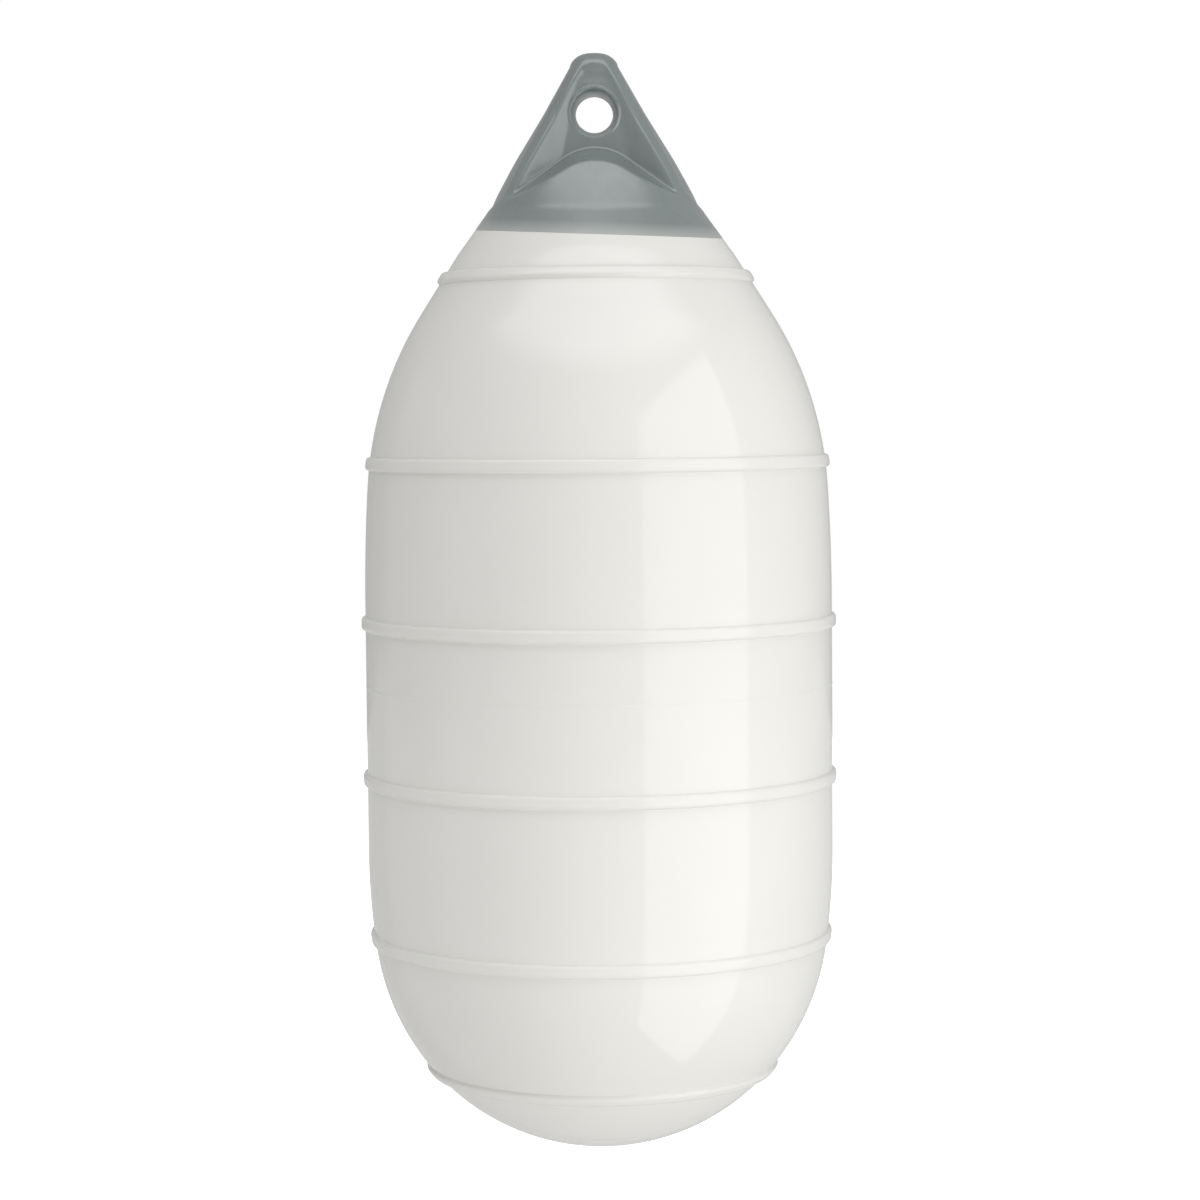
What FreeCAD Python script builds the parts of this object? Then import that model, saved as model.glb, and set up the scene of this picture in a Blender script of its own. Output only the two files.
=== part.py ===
"""Inflatable low-drag mooring buoy: a blown vinyl barrel with six bead rings, a solid moulded
rope cone fused over its head, and an air valve on the back of its shoulder.

Frame: the buoy hangs from its rope eye. +Z is up along its axis, the origin is the centre of the
eye, the eye runs along Y and the front faces -Y. Lengths are millimetres, angles degrees, and a
"drop" is a distance below the centre of the eye.
"""
import FreeCAD, Part
import math
import os

import Sketcher

Vector = FreeCAD.Vector
Rotation = FreeCAD.Rotation
Placement = FreeCAD.Placement

SIZES = {
    # Rope eye
    "eye_radius": (13.6, "radius of the throat"),
    "eye_land": (10.0, "length of the straight throat"),
    "eye_mouth_radius": (17.4, "radius of the bell mouth at the rim's face"),
    "eye_rim_radius": (18.8, "outer radius of the raised rim round the eye"),
    "eye_rim_height": (1.7, "height of the rim over the web's face"),
    # Rope cone, outside
    "apex_height": (45.0, "top of the cone above the eye"),
    "cap_radius": (15.0, "round over the top"),
    "flank_angle": (31.0, "half angle of the cone"),
    "flank_foot_radius": (59.0, "radius at the foot of the straight flank"),
    "flank_foot_drop": (32.0, "drop of the foot of the straight flank"),
    "bulge_angle": (28.9, "half angle of the upper bulge under the flank"),
    "bulge_drop": (50.2, "drop of the middle of the bulge"),
    "waist_drop": (68.5, "drop of the waist between bulge and skirt"),
    "skirt_angle": (36.0, "half angle of the skirt"),
    "edge_drop": (86.5, "drop of the skirt's edge on the axis"),
    "edge_tilt": (3.84, "lean of the skirt's edge"),
    "edge_heading": (-51.3, "bearing of the lowest point of the edge, from +X"),
    # Joint between barrel and cone
    "spigot_radius": (45.0, "radius of the barrel's spigot in the cone"),
    "spigot_drop": (64.0, "drop of the spigot's top"),
    # Recess in the front of the cone, and its twin behind
    "web_half_top": (17.44, "half thickness of the web at its upper end"),
    "web_top_height": (33.0, "height of the web's upper end"),
    "web_top_rounding": (13.6, "radius from the web's upper end over the cone's top"),
    "web_draft": (5.7, "lean of the web's face"),
    "web_half_width": (17.5, "half width of the web's flat face at the height of the eye"),
    "facet_angle": (54.0, "flare of the side facets towards the front"),
    "facet_rounding": (6.0, "radius between the web and the facets"),
    "ledge_top_drop": (16.6, "drop of the ledge's crown at the middle of the web"),
    "ledge_slope": (18.5, "fall of the ledge towards the front"),
    "arch_angle": (31.5, "fall of the ledge to each side"),
    "arch_rounding": (40.0, "radius of the ledge's crown"),
    "ledge_chamfer": (3.0, "chamfer between the ledge and the walls of the recess"),
    # Shallow recess in each side of the cone
    "side_half_angle": (27.0, "half of its spread round the axis"),
    "side_top_height": (32.5, "its upper end above the eye"),
    "side_foot_rise": (2.5, "height of its lower end over the waist"),
    "side_top_depth": (0.7, "its depth at the upper end"),
    "side_middle_depth": (1.9, "its depth beside the eye"),
    "side_foot_depth": (1.3, "its depth at the foot of the flank"),
    "side_end_depth": (1.9, "its depth at the lower end, from the waist's radius"),
    # Barrel, outside
    "neck_radius": (101.0, "radius where skirt line, seat and shoulder meet"),
    "neck_drop": (101.4, "drop of that line"),
    "shoulder_radius": (264.2, "round of the shoulder"),
    "shoulder_angle": (32.4, "slope of the shoulder's upper end, under the neck"),
    "shoulder_foot_angle": (7.2, "slope of the shoulder's lower end, at the second ring"),
    "belly_radius": (1597.0, "long round from the second ring to the third"),
    "belly_angle": (4.2, "slope of its upper end"),
    "barrel_radius": (171.7, "radius of the barrel"),
    "barrel_top_drop": (369.9, "drop of the straight barrel's upper end"),
    "barrel_base_drop": (537.1, "drop of its lower end"),
    "haunch_radius": (523.0, "round under the straight barrel"),
    "haunch_angle": (7.1, "slope of its lower end, at the fifth ring"),
    "heel_radius": (199.2, "round from the fifth ring to the sixth"),
    "heel_angle": (37.3, "slope of its lower end"),
    "foot_radius": (165.4, "round of the foot"),
    "foot_angle": (39.0, "slope of the foot's upper end"),
    # Bead rings
    "bead_width": (10.0, "width at the barrel's face"),
    "bead_top_width": (5.6, "width of the flat between the shoulders"),
    "bead_height": (3.0, "height over the barrel's face"),
    "bead_root": (1.5, "depth of the bead's root under the barrel's face"),
    "ring_drop_one": (118.7, "drop of the first ring"),
    "ring_drop_two": (253.1, "drop of the second ring"),
    "ring_drop_three": (369.9, "drop of the third ring"),
    "ring_drop_four": (484.3, "drop of the fourth ring"),
    "ring_drop_five": (602.0, "drop of the fifth ring"),
    "ring_drop_six": (701.0, "drop of the sixth ring"),
    # Air valve
    "valve_drop": (165.0, "drop of the valve on the shoulder"),
    "valve_flange_radius": (14.0, "radius of the valve's moulded flange"),
    "valve_flange_height": (1.2, "height of the flange over the shoulder"),
    "valve_flange_root": (2.4, "depth of the flange's root under the shoulder"),
    "valve_bore_radius": (4.5, "bore of the valve"),
    "valve_bore_depth": (20.0, "depth of the bore under the shoulder"),
    "plug_clearance": (0.1, "gap between plug and bore"),
    "plug_head_radius": (8.0, "radius of the plug's head"),
    "plug_head_height": (2.4, "height of the head"),
    "plug_shank_length": (14.0, "length of the plug's shank"),
    "plug_slot_width": (1.8, "width of the coin slot"),
    "plug_slot_depth": (1.4, "depth of the coin slot"),
    # Cutting blocks
    "clear_reach": ("=neck_radius * 1.5", "how far they reach past what they cut"),
}

RING_NAMES = ("one", "two", "three", "four", "five", "six")

# A round of an outline as equal straight steps: its slope at the top and at the foot, and steps
ROUNDS_CAP = (("cap", "90", "Sizes.flank_angle", 3),)
ROUNDS_ABOVE = (
    ("shoulder", "Sizes.shoulder_angle", "Sizes.shoulder_foot_angle", 3),
    ("belly", "Sizes.belly_angle", "0", 1),
)
ROUNDS_BELOW = (
    ("haunch", "0", "-Sizes.haunch_angle", 1),
    ("heel", "-Sizes.haunch_angle", "-Sizes.heel_angle", 3),
    ("foot", "-Sizes.foot_angle", "-90", 3),
)

doc = FreeCAD.newDocument("buoy")


def make_sheet():
    """Put the driving sizes in a sheet, one row each: name, value and what it is."""
    sheet = doc.addObject("Spreadsheet::Sheet", "Sizes")
    for row, (alias, (value, note)) in enumerate(SIZES.items(), start=1):
        sheet.set(f"A{row}", alias)
        sheet.set(f"B{row}", str(value))
        sheet.set(f"C{row}", note)
        sheet.setAlias(f"B{row}", alias)
    doc.recompute()
    return sheet


sheet = make_sheet()


def size(alias):
    """The value of one driving size."""
    return float(sheet.get(alias))


def sine(alias):
    return math.sin(math.radians(size(alias)))


def cosine(alias):
    return math.cos(math.radians(size(alias)))


def tangent(alias):
    return math.tan(math.radians(size(alias)))


def polar(centre, radius, angle):
    """The point at a radius and an angle, in radians, from a centre (radius from axis, height)."""
    return (centre[0] + radius * math.cos(angle), centre[1] + radius * math.sin(angle))


def origin_plane(body, role):
    """One of a body's own origin planes or axes."""
    return next(feature for feature in body.Origin.OriginFeatures if feature.Role == role)


class Outline:
    """A closed outline in a sketch: edges are drawn in place, then ruled by the sizes."""

    def __init__(self, sketch):
        self.sketch = sketch
        self.edges = {}

    def line(self, name, start, end):
        edge = Part.LineSegment(Vector(start[0], start[1], 0), Vector(end[0], end[1], 0))
        self.edges[name] = self.sketch.addGeometry(edge, False)

    def arc(self, name, centre, radius, first, last):
        """An arc that runs counter-clockwise from the first to the last angle, in radians."""
        circle = Part.Circle(Vector(centre[0], centre[1], 0), Vector(0, 0, 1), radius)
        self.edges[name] = self.sketch.addGeometry(Part.ArcOfCircle(circle, first, last), False)

    def rule(self, kind, *parts, formula=None, value=None):
        """Add a constraint; parts are edge names and point numbers, formula drives its value."""
        places = [self.edges.get(part, part) for part in parts]
        if value is not None:
            places.append(value)
        number = self.sketch.addConstraint(Sketcher.Constraint(kind, *places))
        if formula is not None:
            self.sketch.setExpression(f"Constraints[{number}]", formula)

    def at(self, name, point, radius=None, height=None):
        """Drive the place of an edge's point; a size is a formula, and '0' means on the axis."""
        where = self.sketch.getPoint(self.edges[name], point)
        for axis, kind, formula in ((where.x, "DistanceX", radius), (where.y, "DistanceY", height)):
            if formula == "0":
                self.rule("PointOnObject", name, point, -2 if kind == "DistanceX" else -1)
            elif formula is not None:
                self.rule(kind, -1, 1, name, point, formula=formula, value=axis)


START, END, CENTRE = 1, 2, 3


def joined_lines(outline, names):
    """Tie each line's end to the next one's start, round the outline."""
    for name, after in zip(names, names[1:] + names[:1]):
        outline.rule("Coincident", name, END, after, START)


def new_body(name):
    body = doc.addObject("PartDesign::Body", name)
    body.Label = name
    return body


def body_sketch(body, name, role):
    """A sketch on one of the body's own origin planes."""
    sketch = body.newObject("Sketcher::SketchObject", name)
    sketch.AttachmentSupport = (origin_plane(body, role), [""])
    sketch.MapMode = "FlatFace"
    return sketch


def revolve(body, kind, name, sketch, axis_role, angle=360.0):
    """Turn a sketch round one of the body's axes: kind is Revolution or Groove."""
    feature = body.newObject(f"PartDesign::{kind}", name)
    feature.Profile = sketch
    feature.ReferenceAxis = (origin_plane(body, axis_role), [""])
    feature.Angle = angle
    sketch.Visibility = False
    return feature


# Outline of the barrel


def slope_value(formula):
    """A slope of the rounds in degrees, from its formula."""
    sign = -1.0 if formula.startswith("-") else 1.0
    word = formula.lstrip("-").removeprefix("Sizes.")
    return sign * (size(word) if word[0].isalpha() else float(word))


def chords(rounds):
    """Name, round, slope and length of each straight step, and the same as formulas."""
    for name, first, last, steps in rounds:
        turn = (slope_value(first) - slope_value(last)) / steps
        length = 2 * size(f"{name}_radius") * math.sin(math.radians(turn / 2))
        for step in range(steps):
            share = (step + 0.5) / steps
            slope = slope_value(first) - turn * (step + 0.5)
            slope_formula = f"({first}) * {1 - share} + ({last}) * {share}"
            length_formula = f"2 * Sizes.{name}_radius * sin((({first}) - ({last})) / {2 * steps})"
            yield f"{name}_{step + 1}", slope, length, slope_formula, length_formula


def step_down(point, slope, length):
    """The lower end of a straight step of the outline."""
    angle = math.radians(slope)
    return (point[0] + length * math.sin(angle), point[1] - length * math.cos(angle))


def barrel_points():
    """Every corner of the barrel's outline, from the neck down to the foot on the axis."""
    top = (size("barrel_radius"), -size("barrel_top_drop"))
    above = [top]
    for _, slope, length, _, _ in reversed(list(chords(ROUNDS_ABOVE))):
        above.append(step_down(above[-1], slope, -length))
    below = [(size("barrel_radius"), -size("barrel_base_drop"))]
    for _, slope, length, _, _ in chords(ROUNDS_BELOW):
        below.append(step_down(below[-1], slope, length))
    before, slope = below[-2], math.radians(list(chords(ROUNDS_BELOW))[-1][1])
    below[-1] = (0.0, before[1] - before[0] / math.tan(-slope))
    return above[::-1] + below


NECK = (size("neck_radius"), -size("neck_drop"))
BARREL = barrel_points()
SKIRT_RADIUS = "Sizes.neck_radius - (Sizes.neck_drop - Sizes.{0}) * tan(Sizes.skirt_angle)"


def skirt_radius(drop):
    """Radius of the skirt's line at a drop: barrel and cone share it."""
    return NECK[0] - (size("neck_drop") - drop) * tangent("skirt_angle")


def barrel_radius(height):
    """Radius of the barrel's outside at a height."""
    corners = [NECK] + BARREL
    upper, lower = next(pair for pair in zip(corners, corners[1:]) if pair[1][1] <= height)
    share = (upper[1] - height) / (upper[1] - lower[1])
    return upper[0] + (lower[0] - upper[0]) * share


def barrel_slope(height):
    """Slope of the barrel's face across a bead at a height, in radians."""
    half = size("bead_width") / 2
    return math.atan2(barrel_radius(height - half) - barrel_radius(height + half), 2 * half)


def rule_chord(outline, chord, sized=True):
    """Rule a straight step of a round by its slope and, unless its end is ruled, its length."""
    name, slope, length, slope_formula, length_formula = chord
    outline.rule("Angle", name, formula=f"{slope_formula} - 90", value=math.radians(slope - 90.0))
    if sized:
        outline.rule("Distance", name, formula=length_formula, value=length)


def barrel_blank():
    """The barrel's outside, up along the skirt's line to over the joint."""
    body = new_body("barrel_blank")
    sketch = body_sketch(body, "barrel_outline", "XZ_Plane")
    outline = Outline(sketch)
    above, below = list(chords(ROUNDS_ABOVE)), list(chords(ROUNDS_BELOW))
    top = (skirt_radius(size("spigot_drop")), -size("spigot_drop"))
    corners = [(0.0, top[1]), top, NECK] + BARREL
    names = ["top", "skirt_line", "neck_line"] + [chord[0] for chord in above]
    names += ["barrel"] + [chord[0] for chord in below] + ["axis"]
    for name, start, end in zip(names, corners, corners[1:] + corners[:1]):
        outline.line(name, start, end)
    joined_lines(outline, names)
    outline.rule("Horizontal", "top")
    outline.at("top", START, radius="0", height="-Sizes.spigot_drop")
    outline.rule("Angle", "skirt_line", formula="Sizes.skirt_angle - 90",
                 value=math.radians(size("skirt_angle") - 90.0))
    outline.at("skirt_line", END, radius="Sizes.neck_radius", height="-Sizes.neck_drop")
    outline.rule("Vertical", "barrel")
    outline.at("barrel", START, radius="Sizes.barrel_radius", height="-Sizes.barrel_top_drop")
    outline.at("barrel", END, height="-Sizes.barrel_base_drop")
    for chord in above + below[:-1]:
        rule_chord(outline, chord)
    rule_chord(outline, below[-1], sized=False)
    outline.rule("PointOnObject", "axis", START, -2)
    revolve(body, "Revolution", "barrel_turn", sketch, "Z_Axis")
    return body


def bead_rings():
    """Six bead rings with a flat crest and sloping sides, square to the barrel's face."""
    body = new_body("bead_rings")
    half, flat = size("bead_width") / 2, size("bead_top_width") / 2
    height, root = size("bead_height"), size("bead_root")
    root_half = half + (half - flat) * root / height
    root_formula = ("Sizes.bead_width / 2 + (Sizes.bead_width - Sizes.bead_top_width) / 2"
                    " * Sizes.bead_root / Sizes.bead_height")
    for name in RING_NAMES:
        drop = size(f"ring_drop_{name}")
        sketch = body_sketch(body, f"bead_{name}", "XZ_Plane")
        slope = math.degrees(barrel_slope(-drop))
        sketch.AttachmentOffset = Placement(
            Vector(barrel_radius(-drop), -drop, 0), Rotation(Vector(0, 0, 1), slope))
        outline = Outline(sketch)
        corners = [(-root, root_half), (-root, -root_half), (height, -flat), (height, flat)]
        names = ["root", "lower_side", "crest", "upper_side"]
        for edge, start, end in zip(names, corners, corners[1:] + corners[:1]):
            outline.line(edge, start, end)
        joined_lines(outline, names)
        outline.rule("Vertical", "root")
        outline.rule("Vertical", "crest")
        outline.at("root", START, radius="-Sizes.bead_root", height=root_formula)
        outline.at("root", END, height=f"-({root_formula})")
        outline.at("crest", START, radius="Sizes.bead_height", height="-Sizes.bead_top_width / 2")
        outline.at("crest", END, height="Sizes.bead_top_width / 2")
        revolve(body, "Revolution", f"ring_{name}", sketch, "Z_Axis")
    return body


def boolean(kind, name, base, tool):
    """A Part boolean of two objects: kind is Cut, Fuse or Common."""
    feature = doc.addObject(f"Part::{kind}", name)
    feature.Base = base
    feature.Tool = tool
    return feature


def over_joint(name):
    """A wide block over the leaning plane of the joint, where the skirt's edge lies."""
    block = doc.addObject("Part::Cylinder", name)
    block.setExpression("Radius", "Sizes.clear_reach")
    block.setExpression("Height", "Sizes.apex_height + Sizes.neck_drop + Sizes.clear_reach")
    heading = math.radians(size("edge_heading"))
    lean = Rotation(Vector(-math.sin(heading), math.cos(heading), 0), size("edge_tilt"))
    block.Placement = Placement(Vector(0, 0, -size("edge_drop")), lean)
    return block


def spigot(name):
    """The round spigot on the barrel's head, which fills the socket under the cone."""
    post = doc.addObject("Part::Cylinder", name)
    post.setExpression("Radius", "Sizes.spigot_radius")
    post.setExpression("Height", "Sizes.neck_drop - Sizes.spigot_drop")
    post.setExpression("Placement.Base.z", "-Sizes.neck_drop")
    return post


def valve_placement():
    """The valve's frame: its origin on the barrel's face behind, its Z out along the normal."""
    radius, slope = barrel_radius(-size("valve_drop")), barrel_slope(-size("valve_drop"))
    place = Vector(0, radius, -size("valve_drop"))
    return Placement(place, Rotation(Vector(1, 0, 0), math.degrees(slope) - 90.0))


def valve_flange():
    """The valve's moulded flange, proud of the shoulder."""
    flange = doc.addObject("Part::Cylinder", "valve_flange")
    flange.setExpression("Radius", "Sizes.valve_flange_radius")
    flange.setExpression("Height", "Sizes.valve_flange_height + Sizes.valve_flange_root")
    root = Placement(Vector(0, 0, -size("valve_flange_root")), Rotation())
    flange.Placement = valve_placement().multiply(root)
    return flange


def valve_bore():
    """The blind bore that the plug closes."""
    bore = doc.addObject("Part::Cylinder", "valve_bore")
    bore.setExpression("Radius", "Sizes.valve_bore_radius")
    bore.setExpression("Height", "Sizes.valve_bore_depth * 2")
    foot = Placement(Vector(0, 0, -size("valve_bore_depth")), Rotation())
    bore.Placement = valve_placement().multiply(foot)
    return bore


def make_buoy_body():
    """One blown shell with its air space left solid: barrel, spigot, beads and the valve's hole."""
    blank = barrel_blank()
    trimmed = boolean("Cut", "trimmed_barrel", blank, over_joint("over_barrel"))
    headed = boolean("Fuse", "headed_barrel", trimmed, spigot("barrel_spigot"))
    beaded = boolean("Fuse", "beaded_barrel", headed, bead_rings())
    flanged = boolean("Fuse", "flanged_barrel", beaded, valve_flange())
    body = boolean("Cut", "buoy_body", flanged, valve_bore())
    body.Label = "buoy_body"
    return body


# Rope cone


def flank_radius(height):
    """Radius of the straight flank at a height."""
    return size("flank_foot_radius") - (height + size("flank_foot_drop")) * tangent("flank_angle")


def cone_blank():
    """The rope cone as one turned block: cap, flank, bulge in two steps and skirt."""
    body = new_body("cone_blank")
    sketch = body_sketch(body, "cone_outline", "XZ_Plane")
    outline = Outline(sketch)
    cap = list(chords(ROUNDS_CAP))
    foot = (size("flank_foot_radius"), -size("flank_foot_drop"))
    middle_drop = size("bulge_drop")
    middle = (foot[0] + (middle_drop - size("flank_foot_drop")) * tangent("bulge_angle"), -middle_drop)
    waist = (skirt_radius(size("waist_drop")), -size("waist_drop"))
    top = (0.0, size("apex_height"))
    fall = (0.0, 0.0)
    for _, slope, length, _, _ in cap:
        fall = step_down(fall, slope, length)
    cap_edge = flank_radius(top[1] + fall[1]) - fall[0]
    corners = [top, (cap_edge, top[1])]
    for _, slope, length, _, _ in cap:
        corners.append(step_down(corners[-1], slope, length))
    corners += [foot, middle, waist, NECK, (0.0, NECK[1])]
    names = ["cap_top"] + [chord[0] for chord in cap]
    names += ["flank", "bulge_upper", "bulge_lower", "skirt", "base", "axis"]
    for name, start, end in zip(names, corners, corners[1:] + corners[:1]):
        outline.line(name, start, end)
    joined_lines(outline, names)
    outline.rule("Horizontal", "cap_top")
    outline.at("cap_top", START, radius="0", height="Sizes.apex_height")
    for chord in cap:
        rule_chord(outline, chord)
    outline.rule("Angle", "flank", formula="Sizes.flank_angle - 90",
                 value=math.radians(size("flank_angle") - 90.0))
    outline.at("flank", END, radius="Sizes.flank_foot_radius", height="-Sizes.flank_foot_drop")
    outline.rule("Angle", "bulge_upper", formula="Sizes.bulge_angle - 90",
                 value=math.radians(size("bulge_angle") - 90.0))
    outline.at("bulge_upper", END, height="-Sizes.bulge_drop")
    outline.at("bulge_lower", END, height="-Sizes.waist_drop")
    outline.rule("Angle", "skirt", formula="Sizes.skirt_angle - 90",
                 value=math.radians(size("skirt_angle") - 90.0))
    outline.at("skirt", END, radius="Sizes.neck_radius", height="-Sizes.neck_drop")
    outline.rule("Horizontal", "base")
    outline.rule("PointOnObject", "base", END, -2)
    revolve(body, "Revolution", "cone_turn", sketch, "Z_Axis")
    return body


def cut_side_recesses(body):
    """A shallow recess in each side, between the front rib and the back rib."""
    sketch = body_sketch(body, "side_outline", "XZ_Plane")
    outline = Outline(sketch)
    top_height, end_height = size("side_top_height"), size("side_foot_rise") - size("waist_drop")
    clear = size("neck_radius")
    corners = [
        (flank_radius(top_height) - size("side_top_depth"), top_height),
        (flank_radius(0.0) - size("side_middle_depth"), 0.0),
        (size("flank_foot_radius") - size("side_foot_depth"), -size("flank_foot_drop")),
        (skirt_radius(size("waist_drop")) - size("side_end_depth"), end_height),
        (clear, end_height),
        (clear, top_height),
    ]
    names = ["upper", "middle", "lower", "end", "outside", "start"]
    for name, start, end in zip(names, corners, corners[1:] + corners[:1]):
        outline.line(name, start, end)
    joined_lines(outline, names)
    flank = "Sizes.flank_foot_radius - (Sizes.flank_foot_drop + {0}) * tan(Sizes.flank_angle)"
    outline.at("upper", START, height="Sizes.side_top_height",
               radius=flank.format("Sizes.side_top_height") + " - Sizes.side_top_depth")
    outline.at("middle", START, radius=flank.format("0") + " - Sizes.side_middle_depth")
    outline.rule("PointOnObject", "middle", START, -1)
    outline.at("lower", START, height="-Sizes.flank_foot_drop",
               radius="Sizes.flank_foot_radius - Sizes.side_foot_depth")
    outline.at("lower", END, height="Sizes.side_foot_rise - Sizes.waist_drop",
               radius=SKIRT_RADIUS.format("waist_drop") + " - Sizes.side_end_depth")
    outline.rule("Horizontal", "end")
    outline.rule("Vertical", "outside")
    outline.rule("Horizontal", "start")
    outline.at("outside", START, radius="Sizes.neck_radius")
    groove = revolve(body, "Groove", "side_recess", sketch, "Z_Axis")
    groove.Midplane = True
    groove.setExpression("Angle", "Sizes.side_half_angle * 2")
    mirrored = body.newObject("PartDesign::Mirrored", "side_recess_twin")
    mirrored.Originals = [groove]
    mirrored.MirrorPlane = (origin_plane(body, "YZ_Plane"), [""])
    body.Tip = mirrored


WEB_HALF = "(Sizes.web_half_top + Sizes.web_top_height * tan(Sizes.web_draft))"
RIM_HALF = f"({WEB_HALF} + Sizes.eye_rim_height)"


def web_half(height):
    """Half thickness of the web at a height: its faces lean apart downwards."""
    return size("web_half_top") + (size("web_top_height") - height) * tangent("web_draft")


def rim_half():
    """Half length of the rim round the eye."""
    return web_half(0.0) + size("eye_rim_height")


def eye_tool():
    """The eye: a straight throat that opens in a bell mouth to the rim on each side."""
    body = new_body("eye_tool")
    sketch = body_sketch(body, "eye_outline", "XY_Plane")
    outline = Outline(sketch)
    throat, mouth = size("eye_radius"), size("eye_mouth_radius")
    land, face, clear = size("eye_land") / 2, rim_half(), size("neck_radius")
    side = [(throat, land), (mouth, face), (mouth, clear)]
    other_side = [(radius, -height) for radius, height in side]
    corners = [(0.0, clear)] + side[::-1] + other_side + [(0.0, -clear)]
    names = ["back_end", "back_way", "back_bell", "throat"]
    names += ["front_bell", "front_way", "front_end", "axis"]
    for name, start, end in zip(names, corners, corners[1:] + corners[:1]):
        outline.line(name, start, end)
    joined_lines(outline, names)
    outline.at("axis", START, radius="0", height="-Sizes.neck_radius")
    outline.at("axis", END, radius="0", height="Sizes.neck_radius")
    outline.rule("Horizontal", "back_end")
    outline.rule("Horizontal", "front_end")
    for way, sign in (("back_way", ""), ("front_way", "-")):
        outline.rule("Vertical", way)
        near_face = END if way == "back_way" else START
        outline.at(way, near_face, radius="Sizes.eye_mouth_radius", height=sign + RIM_HALF)
    outline.rule("Vertical", "throat")
    outline.at("throat", START, radius="Sizes.eye_radius", height="Sizes.eye_land / 2")
    outline.at("throat", END, height="-Sizes.eye_land / 2")
    revolve(body, "Revolution", "eye_turn", sketch, "Y_Axis")
    return body


def eye_rim():
    """The raised rim round the eye, through the web from face to face."""
    rim = doc.addObject("Part::Cylinder", "eye_rim")
    rim.setExpression("Radius", "Sizes.eye_rim_radius")
    rim.setExpression("Height", f"{RIM_HALF} * 2")
    rim.Placement = Placement(Vector(0, rim_half(), 0), Rotation(Vector(1, 0, 0), 90))
    return rim


def loose_sketch(name, rotation):
    """A sketch of its own, turned into one of the main planes."""
    sketch = doc.addObject("Sketcher::SketchObject", name)
    sketch.Placement = Placement(Vector(0, 0, 0), rotation)
    return sketch


def extrude(name, sketch, direction, forward, backward=0.0):
    """A solid carried from a sketch along a direction."""
    feature = doc.addObject("Part::Extrusion", name)
    feature.Base = sketch
    feature.DirMode = "Custom"
    feature.Dir = direction
    feature.LengthFwd = forward
    feature.LengthRev = backward
    feature.Solid = True
    return feature


def ledge_block():
    """Everything above the ledge: its arch, drawn square to the ledge's fall and carried along it."""
    fall_angle = math.radians(size("ledge_slope"))
    sketch = loose_sketch("ledge_outline", Rotation(Vector(1, 0, 0), 90 + size("ledge_slope")))
    outline = Outline(sketch)
    crown, round_radius = -size("ledge_top_drop") * math.cos(fall_angle), size("arch_rounding")
    spread = math.radians(size("arch_angle"))
    centre = (0.0, crown - round_radius)
    right = polar(centre, round_radius, math.pi / 2 - spread)
    reach, roof = size("neck_radius"), size("clear_reach")
    fall = (reach - right[0]) * math.tan(spread)
    outline.arc("crown", centre, round_radius, math.pi / 2 - spread, math.pi / 2 + spread)
    outline.line("left_slope", (-right[0], right[1]), (-reach, right[1] - fall))
    outline.line("left_side", (-reach, right[1] - fall), (-reach, roof))
    outline.line("roof", (-reach, roof), (reach, roof))
    outline.line("right_side", (reach, roof), (reach, right[1] - fall))
    outline.line("right_slope", (reach, right[1] - fall), right)
    outline.rule("Tangent", "crown", END, "left_slope", START)
    outline.rule("Coincident", "left_slope", END, "left_side", START)
    outline.rule("Coincident", "left_side", END, "roof", START)
    outline.rule("Coincident", "roof", END, "right_side", START)
    outline.rule("Coincident", "right_side", END, "right_slope", START)
    outline.rule("Tangent", "right_slope", END, "crown", START)
    outline.rule("Vertical", "left_side")
    outline.rule("Vertical", "right_side")
    outline.rule("Horizontal", "roof")
    outline.rule("Radius", "crown", formula="Sizes.arch_rounding", value=round_radius)
    outline.at("crown", CENTRE, radius="0",
               height="-Sizes.ledge_top_drop * cos(Sizes.ledge_slope) - Sizes.arch_rounding")
    outline.rule("Angle", "left_slope", formula="Sizes.arch_angle - 180", value=spread - math.pi)
    outline.rule("Angle", "right_slope", formula="180 - Sizes.arch_angle", value=math.pi - spread)
    outline.at("roof", START, radius="-Sizes.neck_radius", height="Sizes.clear_reach")
    outline.at("roof", END, radius="Sizes.neck_radius")
    direction = Vector(0, -cosine("ledge_slope"), -sine("ledge_slope"))
    return extrude("ledge_block", sketch, direction, size("clear_reach"))


def facet_block():
    """Everything between the two side facets, seen from above."""
    sketch = loose_sketch("facet_outline", Rotation())
    outline = Outline(sketch)
    side, flare, far = size("web_half_width"), tangent("facet_angle"), size("neck_radius")
    face = web_half(0.0)
    near = face - side / flare / 2
    corners = [(-side / 2, -near), (-side - (far - face) * flare, -far),
               (side + (far - face) * flare, -far), (side / 2, -near)]
    names = ["left_facet", "front", "right_facet", "back"]
    for name, start, end in zip(names, corners, corners[1:] + corners[:1]):
        outline.line(name, start, end)
    joined_lines(outline, names)
    outline.rule("Horizontal", "front")
    outline.rule("Horizontal", "back")
    wide = f"(Sizes.web_half_width + (Sizes.neck_radius - {WEB_HALF}) * tan(Sizes.facet_angle))"
    outline.at("front", START, radius=f"-{wide}", height="-Sizes.neck_radius")
    outline.at("front", END, radius=wide)
    outline.at("back", START, radius="Sizes.web_half_width / 2",
               height=f"-{WEB_HALF} + Sizes.web_half_width / tan(Sizes.facet_angle) / 2")
    outline.at("back", END, radius="-Sizes.web_half_width / 2")
    reach = size("apex_height") + size("neck_drop")
    return extrude("facet_block", sketch, Vector(0, 0, 1), reach, reach)


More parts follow.
